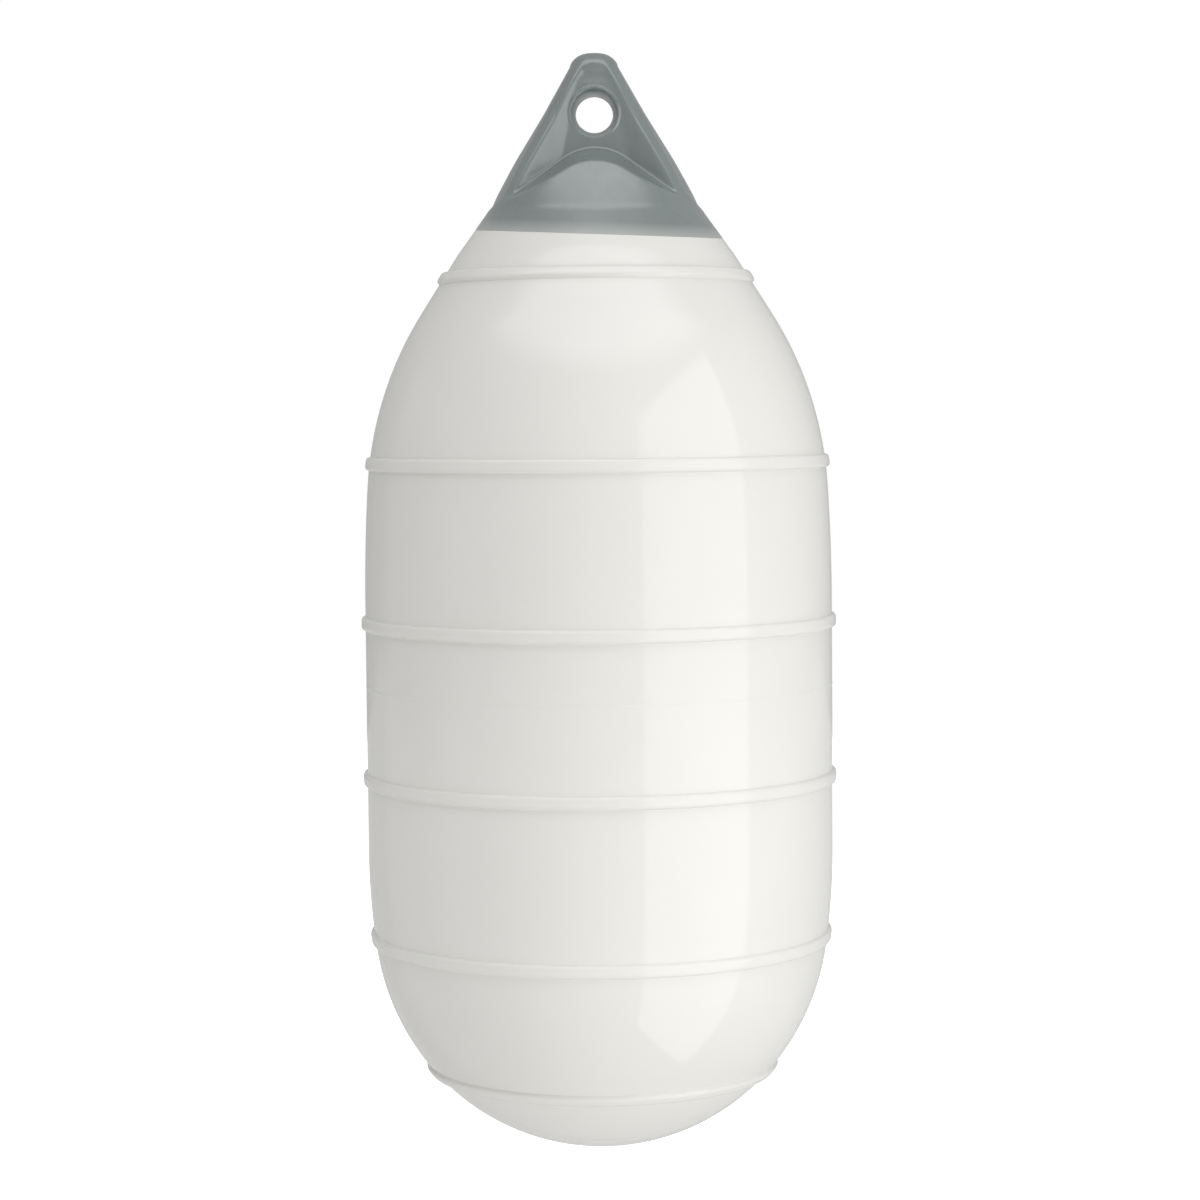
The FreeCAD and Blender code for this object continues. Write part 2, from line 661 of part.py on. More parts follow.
def web_block():
    """Everything in front of the web's leaning face, seen from the side."""
    sketch = loose_sketch("web_outline", Rotation(Vector(1, 1, 1), 120))
    outline = Outline(sketch)
    reach = size("apex_height") + size("neck_drop")
    far = -size("clear_reach")
    corners = [(-web_half(reach), reach), (far, reach), (far, -reach), (-web_half(-reach), -reach)]
    names = ["roof", "front", "floor", "web_face"]
    for name, start, end in zip(names, corners, corners[1:] + corners[:1]):
        outline.line(name, start, end)
    joined_lines(outline, names)
    outline.rule("Horizontal", "roof")
    outline.rule("Horizontal", "floor")
    top = "(Sizes.apex_height + Sizes.neck_drop)"
    outline.at("front", START, radius="-Sizes.clear_reach", height=top)
    outline.at("front", END, radius="-Sizes.clear_reach", height=f"-{top}")
    for end, sign in ((END, "-"), (START, "+")):
        rise = f"(Sizes.web_top_height {sign} {top})"
        outline.at("web_face", end, radius=f"-Sizes.web_half_top - {rise} * tan(Sizes.web_draft)")
    side = size("clear_reach")
    return extrude("web_block", sketch, Vector(1, 0, 0), side, side)


def crown_block():
    """What is taken off the cone's top so that the web's face rolls over it."""
    sketch = loose_sketch("crown_outline", Rotation(Vector(1, 1, 1), 120))
    outline = Outline(sketch)
    radius, draft = size("web_top_rounding"), math.radians(size("web_draft"))
    foot = (-size("web_half_top"), size("web_top_height"))
    centre = polar(foot, -radius, math.pi - draft)
    top = polar(centre, radius, math.pi / 2)
    far = -size("neck_radius")
    outline.arc("roll", centre, radius, math.pi / 2, math.pi - draft)
    outline.line("floor", foot, (far, foot[1]))
    outline.line("front", (far, foot[1]), (far, top[1]))
    outline.line("roof", (far, top[1]), top)
    outline.rule("Coincident", "roll", END, "floor", START)
    outline.rule("Coincident", "floor", END, "front", START)
    outline.rule("Coincident", "front", END, "roof", START)
    outline.rule("Tangent", "roof", END, "roll", START)
    outline.rule("Horizontal", "floor")
    outline.rule("Vertical", "front")
    outline.rule("Horizontal", "roof")
    outline.at("floor", START, radius="-Sizes.web_half_top", height="Sizes.web_top_height")
    outline.at("floor", END, radius="-Sizes.neck_radius")
    outline.rule("Radius", "roll", formula="Sizes.web_top_rounding", value=radius)
    outline.rule("DistanceY", "roll", CENTRE, "roll", END, value=radius * math.sin(draft),
                 formula="Sizes.web_top_rounding * sin(Sizes.web_draft)")
    side = size("neck_radius")
    return extrude("crown_block", sketch, Vector(1, 0, 0), side, side)


def meeting_edges(shape, first, second):
    """Numbers of a solid's edges between a face of the first kind and one of the second."""
    chosen = []
    for number, edge in enumerate(shape.Edges, start=1):
        faces = shape.ancestorsOfType(edge, Part.Face)
        if len(faces) == 2 and any(first(one) and second(two) for one, two in (faces, faces[::-1])):
            chosen.append(number)
    return chosen


def facing(face):
    """A face's outward direction at its middle."""
    first_u, last_u, first_v, last_v = face.ParameterRange
    return face.normalAt((first_u + last_u) / 2, (first_v + last_v) / 2)


# Largest upward or downward part of a wall's outward direction; the ledge's is larger
WALL_LEAN = 0.3


def on_ledge(face):
    """The ledge's faces look steeply down from the core."""
    return facing(face).z < -WALL_LEAN


def on_wall(face):
    """The faces of the web and the facets look back from the core and hardly up or down."""
    return facing(face).y > 0 and abs(facing(face).z) < WALL_LEAN


def softened(kind, name, source, other_faces, alias):
    """A solid with edges of its walls rounded or chamfered by a driving size."""
    doc.recompute()
    amount = size(alias)
    feature = doc.addObject(f"Part::{kind}", name)
    feature.Base = source
    edges = meeting_edges(source.Shape, other_faces, on_wall)
    feature.Edges = [(number, amount, amount) for number in edges]
    return feature


def recess_core():
    """The core of the front recess: above the ledge, between the facets, before the web."""
    arched = boolean("Common", "arched_core", ledge_block(), facet_block())
    sharp = boolean("Common", "sharp_core", arched, web_block())
    upright = softened("Fillet", "upright_core", sharp, on_wall, "facet_rounding")
    core = softened("Chamfer", "ledge_core", upright, on_ledge, "ledge_chamfer")
    return boolean("Fuse", "recess_core", core, crown_block())


def make_ropehold():
    """One solid moulding: turned cone, side recesses, front and back recess, eye, leaning edge."""
    blank = cone_blank()
    cut_side_recesses(blank)
    core = recess_core()
    twin = doc.addObject("Part::Mirroring", "recess_core_twin")
    twin.Source = core
    twin.Normal = Vector(0, 1, 0)
    fronted = boolean("Cut", "front_recessed", blank, core)
    backed = boolean("Cut", "back_recessed", fronted, twin)
    rimmed = boolean("Fuse", "rimmed_cone", backed, eye_rim())
    eyed = boolean("Cut", "eyed_cone", rimmed, eye_tool())
    socketed = boolean("Cut", "socketed_cone", eyed, spigot("cone_socket"))
    cone = boolean("Common", "ropehold", socketed, over_joint("over_skirt"))
    cone.Label = "ropehold"
    return cone


# Air valve


def make_valve_plug():
    """The plug: a low head with a coin slot, on a shank that fills the bore."""
    body = new_body("valve_plug")
    sketch = body_sketch(body, "plug_outline", "XZ_Plane")
    outline = Outline(sketch)
    seat = size("valve_flange_height")
    top = seat + size("plug_head_height")
    foot = seat - size("plug_shank_length")
    shank = size("valve_bore_radius") - size("plug_clearance")
    corners = [(0.0, top), (size("plug_head_radius"), top), (size("plug_head_radius"), seat),
               (shank, seat), (shank, foot), (0.0, foot)]
    names = ["head", "rim", "under_head", "shank", "foot", "axis"]
    for name, start, end in zip(names, corners, corners[1:] + corners[:1]):
        outline.line(name, start, end)
    joined_lines(outline, names)
    for name in names[0::2]:
        outline.rule("Horizontal", name)
    for name in names[1::2]:
        outline.rule("Vertical", name)
    low = "Sizes.valve_flange_height"
    outline.at("head", START, radius="0", height=low + " + Sizes.plug_head_height")
    outline.at("rim", END, radius="Sizes.plug_head_radius", height=low)
    outline.at("shank", END, radius="Sizes.valve_bore_radius - Sizes.plug_clearance",
               height=low + " - Sizes.plug_shank_length")
    revolve(body, "Revolution", "plug_turn", sketch, "Z_Axis")
    slot_sketch = body_sketch(body, "slot_outline", "XY_Plane")
    slot_sketch.AttachmentOffset = Placement(Vector(0, 0, top), Rotation())
    slot = Outline(slot_sketch)
    reach = size("plug_head_radius") + size("valve_flange_radius")
    half = size("plug_slot_width") / 2
    corners = [(-reach, -half), (reach, -half), (reach, half), (-reach, half)]
    names = ["front_edge", "right_end", "back_edge", "left_end"]
    for name, start, end in zip(names, corners, corners[1:] + corners[:1]):
        slot.line(name, start, end)
    joined_lines(slot, names)
    slot.rule("Horizontal", "front_edge")
    slot.rule("Horizontal", "back_edge")
    slot.rule("Vertical", "right_end")
    slot.rule("Vertical", "left_end")
    ends = "(Sizes.plug_head_radius + Sizes.valve_flange_radius)"
    slot.at("front_edge", START, radius=f"-{ends}", height="-Sizes.plug_slot_width / 2")
    slot.at("back_edge", START, radius=ends, height="Sizes.plug_slot_width / 2")
    pocket = body.newObject("PartDesign::Pocket", "coin_slot")
    pocket.Profile = slot_sketch
    pocket.setExpression("Length", "Sizes.plug_slot_depth")
    slot_sketch.Visibility = False
    body.Placement = valve_placement()
    return body


def write_parts(parts):
    """Check every object, then write each sub-part to a file named after its label."""
    doc.recompute()
    for item in doc.Objects:
        if "Invalid" in item.State or "Error" in item.State:
            raise RuntimeError(f"{item.Name} failed: {item.State}")
    os.makedirs("parts", exist_ok=True)
    for part in parts:
        if part.Shape.isNull() or not part.Shape.isValid():
            raise RuntimeError(f"{part.Label} has no valid shape")
        part.Shape.exportStep(f"parts/{part.Label}.step")
        print(f"{part.Label}: {len(part.Shape.Solids)} solid, {part.Shape.Volume / 1000:.2f} cm3")


write_parts([make_buoy_body(), make_ropehold(), make_valve_plug()])
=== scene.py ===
"""Inflatable mooring buoy, dressed for a picture: white vinyl barrel, grey rope cone, air valve.

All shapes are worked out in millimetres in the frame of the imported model: the origin is the
centre of the rope eye, +Z is up the buoy's axis and the front faces -Y.
"""
import math

import bpy
import numpy as np
from mathutils import Matrix, Vector


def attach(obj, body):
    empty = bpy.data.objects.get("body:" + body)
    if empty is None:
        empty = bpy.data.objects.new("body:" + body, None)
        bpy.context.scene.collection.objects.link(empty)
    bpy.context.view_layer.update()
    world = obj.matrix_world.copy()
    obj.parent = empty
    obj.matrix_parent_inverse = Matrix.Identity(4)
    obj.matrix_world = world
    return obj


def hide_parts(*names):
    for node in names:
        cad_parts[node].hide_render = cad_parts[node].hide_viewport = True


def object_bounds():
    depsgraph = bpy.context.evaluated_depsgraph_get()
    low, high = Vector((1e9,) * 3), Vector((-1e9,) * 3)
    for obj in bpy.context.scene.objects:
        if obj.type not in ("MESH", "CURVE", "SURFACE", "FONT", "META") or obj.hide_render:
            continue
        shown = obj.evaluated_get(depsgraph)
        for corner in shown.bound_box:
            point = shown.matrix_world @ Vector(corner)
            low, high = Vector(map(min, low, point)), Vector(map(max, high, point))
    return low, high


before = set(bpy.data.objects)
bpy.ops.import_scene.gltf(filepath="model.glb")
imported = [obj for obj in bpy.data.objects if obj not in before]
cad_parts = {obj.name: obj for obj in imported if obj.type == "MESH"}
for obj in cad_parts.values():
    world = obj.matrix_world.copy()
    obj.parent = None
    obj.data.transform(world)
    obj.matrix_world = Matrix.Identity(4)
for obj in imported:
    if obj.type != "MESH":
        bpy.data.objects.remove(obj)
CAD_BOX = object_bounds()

bl_info = {
    "name": "Mooring buoy",
    "version": (1, 0, 0),
    "blender": (4, 5, 0),
    "location": "3D View > Sidebar > Buoy",
    "description": "Builds a mooring buoy with its rope cone, its air valve and a pale studio",
    "category": "Add Mesh",
}

MM = 0.001

# Lengths are in millimetres, but for the studio's. A point's pair is its radius and height.

# Rope cone, turned outline: cap, straight flank, bulge and skirt
APEX_HEIGHT = 44.98
CAP_ROUND = 15.0
FLANK_ANGLE = math.radians(31.0)
FLANK_FOOT = (59.0, -32.0)
BULGE_ROUND = 335.0
SKIRT_ANGLE = math.radians(36.0)
SKIRT_COVER = 0.2
WAIST_BLEND = 0.8
OUTLINE_COSINE = 0.84

# Rope cone, foot: the skirt's leaning edge, and the spigot it sits round
NECK = (101.0, -101.4)
EDGE_HEIGHT = -86.5
EDGE_TILT = math.radians(3.84)
EDGE_HEADING = math.radians(-51.3)
SPIGOT_RADIUS = 45.0
SPIGOT_TOP = -64.0
SOLE_RADII = (75.0, 60.0, SPIGOT_RADIUS)
CONTACT_GAP = 0.05

# Rope cone, side recesses: the depth's share at some heights, and where and how it fades
POCKET_HEIGHTS = (-69, -32, 0, 36)
POCKET_SHARES = (1.0, 0.75, 1.0, 0.35)
POCKET_REACH = math.radians(27.0)
POCKET_TOP = 36.8
POCKET_FOOT = -69.5
POCKET_FOOT_RISE = 11.0
POCKET_RIB_FADE = 6.0
POCKET_FOOT_FADE = 3.5
POCKET_TOP_FADE = 2.2

# Rope cone, web: half its thickness at the top, the roll over it, and the hollow over the eye
WEB_HALF_TOP = 17.44
WEB_TOP = 33.0
WEB_ROLL = 13.6
WEB_DRAFT = math.radians(5.7)
WEB_AT_EYE = WEB_HALF_TOP + WEB_TOP * math.tan(WEB_DRAFT)
HOLLOW_DEPTH = 1.6
HOLLOW_HEIGHT = 27.5
HOLLOW_HALF_WIDTH = 14.0
HOLLOW_HALF_HEIGHT = 6.0

# Rope cone, facets, ledge and ribs beside and under the web
WEB_HALF_WIDTH = 17.5
FACET_FLARE = math.tan(math.radians(64.0))
LEDGE_CROWN = -19.6
LEDGE_FALL = math.tan(math.radians(16.0))
LEDGE_COSINE = 0.93
ARCH_ANGLE = math.radians(31.5)
ARCH_ROUND = 40.0
DIMPLE_DEPTH = 0.7
DIMPLE_PLACE = 45.0
DIMPLE_HALF_WIDTH = 11.0
DIMPLE_HALF_DEPTH = 9.0
RIB_CREST = math.radians(25.0)
RIB_VALLEY = math.radians(41.0)
RIB_SET_BACK = 3.0
RIB_FADE_TOP = 32.0
RIB_FADE = 42.0

# Rope cone, widths of the blends between its faces
WEB_CORNER_BLEND = 1.2
VALLEY_BLEND = 1.6
CREST_CHANGE = 9.0
RIM_EDGE_BLEND = 1.6
RIM_SIDE_BLEND = 1.0
RIM_ROOT_BLEND = 1.4

# Rope cone, eye: straight throat, bell mouth that ends short of a rounded lip, raised rim. The
# lip's turn is its first and last angle and its steps. The cutting tool flares outside the rim:
# each step's way out and widening
EYE_RADIUS = 13.6
EYE_LAND = 5.0
EYE_MOUTH = 17.5
BELL_POWER = 1.9
BELL_SHORT = 0.9
BELL_NARROW = 0.7
BELL_RINGS = 25
LIP_ROUND = 1.4
LIP_SET_OUT = 1.0
LIP_PROUD = 0.05
LIP_TURN = (25, 78, 7)
TOOL_FLARE = ((0.4, 1.2), (30.0, 2.0))
EYE_AROUND = 128
RIM_RADIUS = 18.8
RIM_HEIGHT = 1.7

# Rope cone, rays that find its surface: how they rise, their bases on the axis at the cap, the
# ledge and the skirt, and their number over the cap, in each span and over the skirt
RAY_RISE = math.radians(25.0)
RAY_STEEPEST = math.radians(88.5)
RAY_BASES = (20.0, -22.0, -84.0)
RAY_COUNTS = (26, 40, 92, 22)
RAY_REACH = 160.0
RAY_HALVINGS = 34
# From the front to a side, each span's first and last bearing in degrees and its steps
BEARING_SPANS = ((0, 38, 40), (38, 66, 58), (66, 90, 13))

# Barrel outline: each round's centre, radius, and first and last slope in degrees
SHOULDER = ((-94.80, -286.06), 264.25, 32.38, 3.65)
CROWN = ((-1187.0, -355.7), 1358.7, 3.65, 0.0)
HAUNCH = ((-351.6, -537.1), 523.3, 0.0, -8.04)
HEEL = ((-10.41, -585.26), 178.83, -8.04, -39.0)
FOOT = ((0.0, -593.7), 165.43, -39.0, -90.0)
OUTLINE_STEP = 2.0
RING_HEIGHTS = (-118.7, -253.1, -369.9, -484.3, -602.0, -700.5)
BEAD_ROOT_BLEND = 0.8
PARTING_HEIGHT = -416.5
PARTING_HALF_WIDTH = 0.55

# Barrel, rings of points: how many lie in a ring and down the neck, and where the rounds' rings
# are along the outline. A span's pair is how far it reaches each way, and its rings
BARREL_AROUND = 232
NECK_RINGS = 5
RING_STEP = 7.0
RING_GAP = 0.12
BEAD_SPAN = (7.0, 43)
PARTING_SPAN = (1.5, 13)
FOOT_SPAN = (30.0, 0.8, 10)
FOOT_CLEAR = 3.0

# Valve on the back of the shoulder, with heights over the shoulder's face along its normal
VALVE_PLACE = (139.36, -165.0)
VALVE_SLOPE = math.radians(28.2)
VALVE_BORE = 4.6
FLANGE_FLAT = 9.0
FLANGE_RADIUS = 14.0
FLANGE_ROUND = 1.0
FLANGE_FACE = 1.2
FLANGE_ROOT = ((14.2, -0.4), (15.4, -1.9), (15.0, -2.4))
FLANGE_FOOT = -2.4
FLANGE_AROUND = 96
PLUG_RADIUS = 8.0
PLUG_ROUND = 0.8
PLUG_FACE = 3.6
PLUG_FLAT = (0.15, 7.0, 46)
PLUG_AROUND = 160
PLUG_SOLE = 1.25
SHANK_RADIUS = 4.4
SHANK_TIP = -12.8
SLOT_DEPTH = 1.3
SLOT_HALF_WIDTH = 1.05
SLOT_EDGE = 0.45
SLOT_LOWEST = 1.5

# Finish: the streaks' scale along each axis, and how far over the edge and how strongly the skirt
# is painted paler, painted light for the glow through its thin vinyl
BARREL_IOR = 1.6
CONE_IOR = 2.1
PLUG_ROUGHNESS = 0.35
STREAK_SCALE = (210.0, 210.0, 26.0)
STREAK_BRIGHTNESS = 1.6
PAINTED_GLOW_REACH = 9.0
PAINTED_GLOW_SHARE = 0.32

# Studio, in metres and degrees, the lens in millimetres
WHITE = (1, 1, 1, 1)
MIRRORED_WHITE = 0.2
FLOOR_HALF = 12.0
FLOOR_COLOUR = (0.8, 0.8, 0.79, 1)
FLOOR_ROUGHNESS = 0.9
CANOPY_FOOT = (0.66, 0.80)
CANOPY_BACK = (0.76, 0.62)
CAMERA_LENS = 92.91
CAMERA_PLACE = (0.00104, -2.2814, -0.2112)
CAMERA_DOWN = 3.61
CAMERA_ROLL = -0.501


class BuoyShape(bpy.types.PropertyGroup):
    """Sizes of the buoy's raised details."""

    bead_height: bpy.props.FloatProperty(
        name="Ring height", description="Height of the bead rings over the barrel",
        default=0.00295, min=0.0, max=0.01, subtype="DISTANCE", unit="LENGTH")
    bead_width: bpy.props.FloatProperty(
        name="Ring width", description="Width of the bead rings at the barrel",
        default=0.0096, min=0.002, max=0.02, subtype="DISTANCE", unit="LENGTH")
    parting_height: bpy.props.FloatProperty(
        name="Parting line", description="Height of the mould's parting line round the barrel",
        default=0.00022, min=0.0, max=0.001, subtype="DISTANCE", unit="LENGTH")
    rib_round: bpy.props.FloatProperty(
        name="Rib round", description="Round over the edges of the rope cone's ribs",
        default=0.0020, min=0.0005, max=0.004, subtype="DISTANCE", unit="LENGTH")
    lip_round: bpy.props.FloatProperty(
        name="Ledge's edge", description="Round over the front edge of the rope cone's ledge",
        default=0.0008, min=0.0003, max=0.004, subtype="DISTANCE", unit="LENGTH")
    ledge_round: bpy.props.FloatProperty(
        name="Ledge round", description="Round in the corner between the web and the ledge",
        default=0.0024, min=0.001, max=0.012, subtype="DISTANCE", unit="LENGTH")
    pocket_depth: bpy.props.FloatProperty(
        name="Side recess", description="Depth of the recess in each side of the rope cone",
        default=0.0019, min=0.0, max=0.004, subtype="DISTANCE", unit="LENGTH")


class BuoyFinish(bpy.types.PropertyGroup):
    """Colours and gloss of the buoy's vinyl."""

    barrel_colour: bpy.props.FloatVectorProperty(
        name="Barrel", description="Colour of the barrel's vinyl", size=3,
        default=(0.83, 0.822, 0.788), min=0.0, max=1.0, subtype="COLOR")
    cone_colour: bpy.props.FloatVectorProperty(
        name="Rope cone", description="Colour of the rope cone's vinyl", size=3,
        default=(0.184, 0.221, 0.217), min=0.0, max=1.0, subtype="COLOR")
    plug_colour: bpy.props.FloatVectorProperty(
        name="Valve plug", description="Colour of the valve plug", size=3,
        default=(0.78, 0.78, 0.76), min=0.0, max=1.0, subtype="COLOR")
    barrel_roughness: bpy.props.FloatProperty(
        name="Barrel roughness", description="Roughness of the barrel's vinyl",
        default=0.06, min=0.0, max=1.0, subtype="FACTOR")
    cone_roughness: bpy.props.FloatProperty(
        name="Cone roughness", description="Roughness of the rope cone's vinyl",
        default=0.22, min=0.0, max=1.0, subtype="FACTOR")


class StudioLight(bpy.types.PropertyGroup):
    """Levels of the studio's lamps and surroundings, as the radiance of their faces."""

    right_level: bpy.props.FloatProperty(
        name="Right softbox", description="Brightness of the softbox at the right",
        default=0.715, min=0.0, max=20.0)
    left_level: bpy.props.FloatProperty(
        name="Left softbox", description="Brightness of the softbox at the left",
        default=0.12, min=0.0, max=20.0)
    front_level: bpy.props.FloatProperty(
        name="Front fill", description="Brightness of the fill light behind the camera",
        default=1.7, min=0.0, max=20.0)
    rim_level: bpy.props.FloatProperty(
        name="Rim fill", description="Brightness of the fill light at the right, behind the buoy",
        default=1.1, min=0.0, max=20.0)
    top_level: bpy.props.FloatProperty(
        name="Top fill", description="Brightness of the fill light overhead",
        default=0.8, min=0.0, max=20.0)
    canopy_level: bpy.props.FloatProperty(
        name="Canopy", description="Brightness of the soft canopy over the front",
        default=1.4, min=0.0, max=20.0)
    room_level: bpy.props.FloatProperty(
        name="Room", description="Brightness of the room round the buoy",
        default=0.34, min=0.0, max=2.0)
    floor_drop: bpy.props.FloatProperty(
        name="Floor drop", description="Distance from the hanging buoy down to the floor",
        default=1.0, min=0.0, max=2.0, subtype="DISTANCE", unit="LENGTH")


# Grids and meshes


def bearings(count):
    """Even bearings round the axis, in radians."""
    return np.linspace(0, 2 * math.pi, count, endpoint=False)


def ring_points(theta, radius, height):
    """Points at bearings, radii and heights round the axis: cosine and sine times the radius."""
    across, along, height = np.broadcast_arrays(
        radius * np.cos(theta), radius * np.sin(theta), height)
    return np.stack([across, along, height], -1)


def turned(theta, radii, heights):
    """A ring of points round the axis for each radius and height of an outline."""
    return ring_points(theta, np.asarray(radii)[:, None], np.asarray(heights)[:, None])


def closed_grid(name, rows, top, foot):
    """A closed mesh from rings of points with a pole at each end.

    rows is an array of rings x points x 3 in millimetres, from the top ring down, each ring
    counter-clockwise seen from above. Neighbouring rings are joined by quads and each end ring
    to its pole by triangles.
    """
    count, around = rows.shape[:2]
    points = np.concatenate([rows.reshape(-1, 3), [top], [foot]]) * MM
    here = np.arange(around)
    after = np.roll(here, -1)
    ring = (np.arange(count - 1) * around)[:, None]
    quads = np.stack([ring + here, ring + around + here, ring + around + after, ring + after], -1)
    last = (count - 1) * around
    crown = np.stack([np.full(around, count * around), here, after], -1)
    base = np.stack([np.full(around, count * around + 1), last + after, last + here], -1)
    faces = quads.reshape(-1, 4).tolist() + crown.tolist() + base.tolist()
    mesh = bpy.data.meshes.new(name)
    mesh.from_pydata(points.tolist(), [], faces)
    mesh.validate()
    return mesh


def add_piece(name, mesh, material, node, sharp=35.0):
    """Put a mesh in the scene as a piece that rides on the buoy and stands for a CAD node."""
    mesh.materials.clear()
    mesh.materials.append(material)
    mesh.shade_smooth()
    mesh.set_sharp_from_angle(angle=math.radians(sharp))
    piece = bpy.data.objects.new(name, mesh)
    bpy.context.scene.collection.objects.link(piece)
    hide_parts(node)
    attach(piece, "root")


def smooth_max(first, second, width):
    """The larger of two values, rounded where they differ by less than the width.

    The larger value plus a quarter of the width times the square of how near they are.
    """
    near = np.clip(1 - np.abs(first - second) / width, 0, 1)
    return np.maximum(first, second) + near ** 2 * width / 4


def smooth_min(first, second, width):
    """The smaller of two values, rounded in the same way."""
    return -smooth_max(-first, -second, width)


def ease(value):
    """A soft step from 0 to 1: three times the square less twice the cube."""
    value = np.clip(value, 0, 1)
    return value * value * (3 - 2 * value)


def edge_ring(theta):
    """Radius and height of the skirt's edge: the skirt's line cut by the leaning plane."""
    flare, lean = math.tan(SKIRT_ANGLE), math.tan(EDGE_TILT)
    facing = np.cos(theta - EDGE_HEADING)
    radius = (NECK[0] + (NECK[1] - EDGE_HEIGHT) * flare) / (1 - lean * flare * facing)
    return radius, EDGE_HEIGHT - lean * radius * facing


def plane_height(theta, radius):
    """Height of the leaning plane at a radius: its height on the axis less its fall to there."""
    return EDGE_HEIGHT - math.tan(EDGE_TILT) * radius * np.cos(theta - EDGE_HEADING)


# Barrel


def round_samples(part, step):
    """Radius, height and slope along one round of the outline, a step apart.

    Each point is the round's centre plus its radius times the cosine and sine of the slope.
    """
    centre, radius, first, last = part
    count = max(2, int(radius * math.radians(abs(first - last)) / step))
    slope = np.radians(np.linspace(first, last, count + 1))
    return centre[0] + radius * np.cos(slope), centre[1] + radius * np.sin(slope), slope


def barrel_outline():
    """The barrel's smooth outline under the neck: arc length, radius, height and slope."""
    rounds = [round_samples(part, OUTLINE_STEP) for part in (SHOULDER, CROWN, HAUNCH, HEEL, FOOT)]
    neck = (np.array([NECK[0]]), np.array([NECK[1]]), np.radians([SHOULDER[2]]))
    radius, height, slope = (np.concatenate(part) for part in zip(neck, *rounds))
    length = np.concatenate([[0], np.cumsum(np.hypot(np.diff(radius), np.diff(height)))])
    return length, radius, height, slope


def outline_stops(end, beads, parting):
    """Arc lengths at which the barrel has a ring of points.

    They are 7 mm apart, and closer at the foot, over each bead and over the parting line. One
    that is less than 0.12 mm after another is left out.
    """
    first, last, count = FOOT_SPAN
    stops = [np.arange(0, end - FOOT_CLEAR, RING_STEP), np.linspace(end - first, end - last, count)]
    details = [(bead, *BEAD_SPAN) for bead in beads] + [(parting, *PARTING_SPAN)]
    stops += [place + np.linspace(-reach, reach, count) for place, reach, count in details]
    stops = np.unique(np.concatenate(stops).round(3))
    stops = stops[stops > 0]
    return stops[np.concatenate([[True], np.diff(stops) > RING_GAP])]


def bead_profile(distance, width, height):
    """Height of a bead at a distance from its middle: flat crown, round shoulders, soft root.

    The height times the square root of one less the fourth power of the distance over the half
    width, blended into the barrel's face.
    """
    share = np.abs(distance) / (width / 2)
    crown = height * np.sqrt(np.clip(1 - share ** 4, 0, 1))
    outside = -(share - 1) * width
    return smooth_max(np.where(share < 1, crown, outside), np.zeros_like(share), BEAD_ROOT_BLEND)


def barrel_rows(shape):
    """Every ring of the barrel: its spigot and head, the neck, the rounds with their beads.

    The outline is turned round the axis. Along its normal are added the beads and the parting
    line, whose height is a bell curve. The head is a hair under the rope cone's sole.
    """
    theta = bearings(BARREL_AROUND)
    length, *outline = barrel_outline()
    beads = np.interp(-np.array(RING_HEIGHTS), -outline[1], length)
    parting = np.interp(-PARTING_HEIGHT, -outline[1], length)
    stops = outline_stops(length[-1], beads, parting)
    radius, height, slope = (np.interp(stops, length, part) for part in outline)
    proud = sum(bead_profile(stops - bead, shape.bead_width / MM, shape.bead_height / MM)
                for bead in beads)
    proud += shape.parting_height / MM * np.exp(-((stops - parting) / PARTING_HALF_WIDTH) ** 2)
    rounds = turned(theta, radius + proud * np.cos(slope), height + proud * np.sin(slope))
    spigot = SPIGOT_RADIUS - CONTACT_GAP
    head = np.stack([
        ring_points(theta, spigot, SPIGOT_TOP - CONTACT_GAP),
        ring_points(theta, spigot, plane_height(theta, SPIGOT_RADIUS) - CONTACT_GAP)])
    edge_radius, edge_height = edge_ring(theta)
    share = np.linspace(0, 1, NECK_RINGS)[:, None]
    neck = ring_points(theta, edge_radius + (NECK[0] - edge_radius) * share,
                       edge_height - CONTACT_GAP + (NECK[1] - edge_height) * share)
    return np.concatenate([head, neck, rounds])


class BUOY_OT_barrel(bpy.types.Operator):
    """Build the white barrel with its bead rings"""

    bl_idname = "buoy.barrel"
    bl_label = "Barrel"

    def execute(self, context):
        scene = context.scene
        top = (0.0, 0.0, SPIGOT_TOP - CONTACT_GAP)
        foot = (0.0, 0.0, FOOT[0][1] - FOOT[1])
        mesh = closed_grid("barrel", barrel_rows(scene.buoy_shape), top, foot)
        add_piece("barrel", mesh, barrel_vinyl(scene.buoy_finish), "buoy_body")
        return {"FINISHED"}


# Rope cone


def flank_line(height):
    """Radius of the straight flank at a height."""
    return FLANK_FOOT[0] - (height - FLANK_FOOT[1]) * math.tan(FLANK_ANGLE)


def cap_centre():
    """Centre of the round over the top, which touches the flank and the top."""
    height = APEX_HEIGHT - CAP_ROUND
    return flank_line(height) - CAP_ROUND / math.cos(FLANK_ANGLE), height


def cone_radius(height):
    """Outside radius of the cone under its cap: flank, bulge and skirt.

    The flank is a straight line. The bulge is an arc that leaves it at its foot without a
    corner. The skirt is a straight line, and the larger of bulge and skirt is taken.
    """
    flank = flank_line(height)
    drop = np.maximum(FLANK_FOOT[1] - height, 0)
    lean = np.clip(math.sin(FLANK_ANGLE) - drop / BULGE_ROUND, 0, 1)
    bulge = FLANK_FOOT[0] + BULGE_ROUND * (np.sqrt(1 - lean ** 2) - math.cos(FLANK_ANGLE))
    upper = np.where(height > FLANK_FOOT[1], flank, bulge)
    skirt = NECK[0] + (NECK[1] - height) * math.tan(SKIRT_ANGLE) + SKIRT_COVER
    return smooth_max(upper, skirt, WAIST_BLEND)


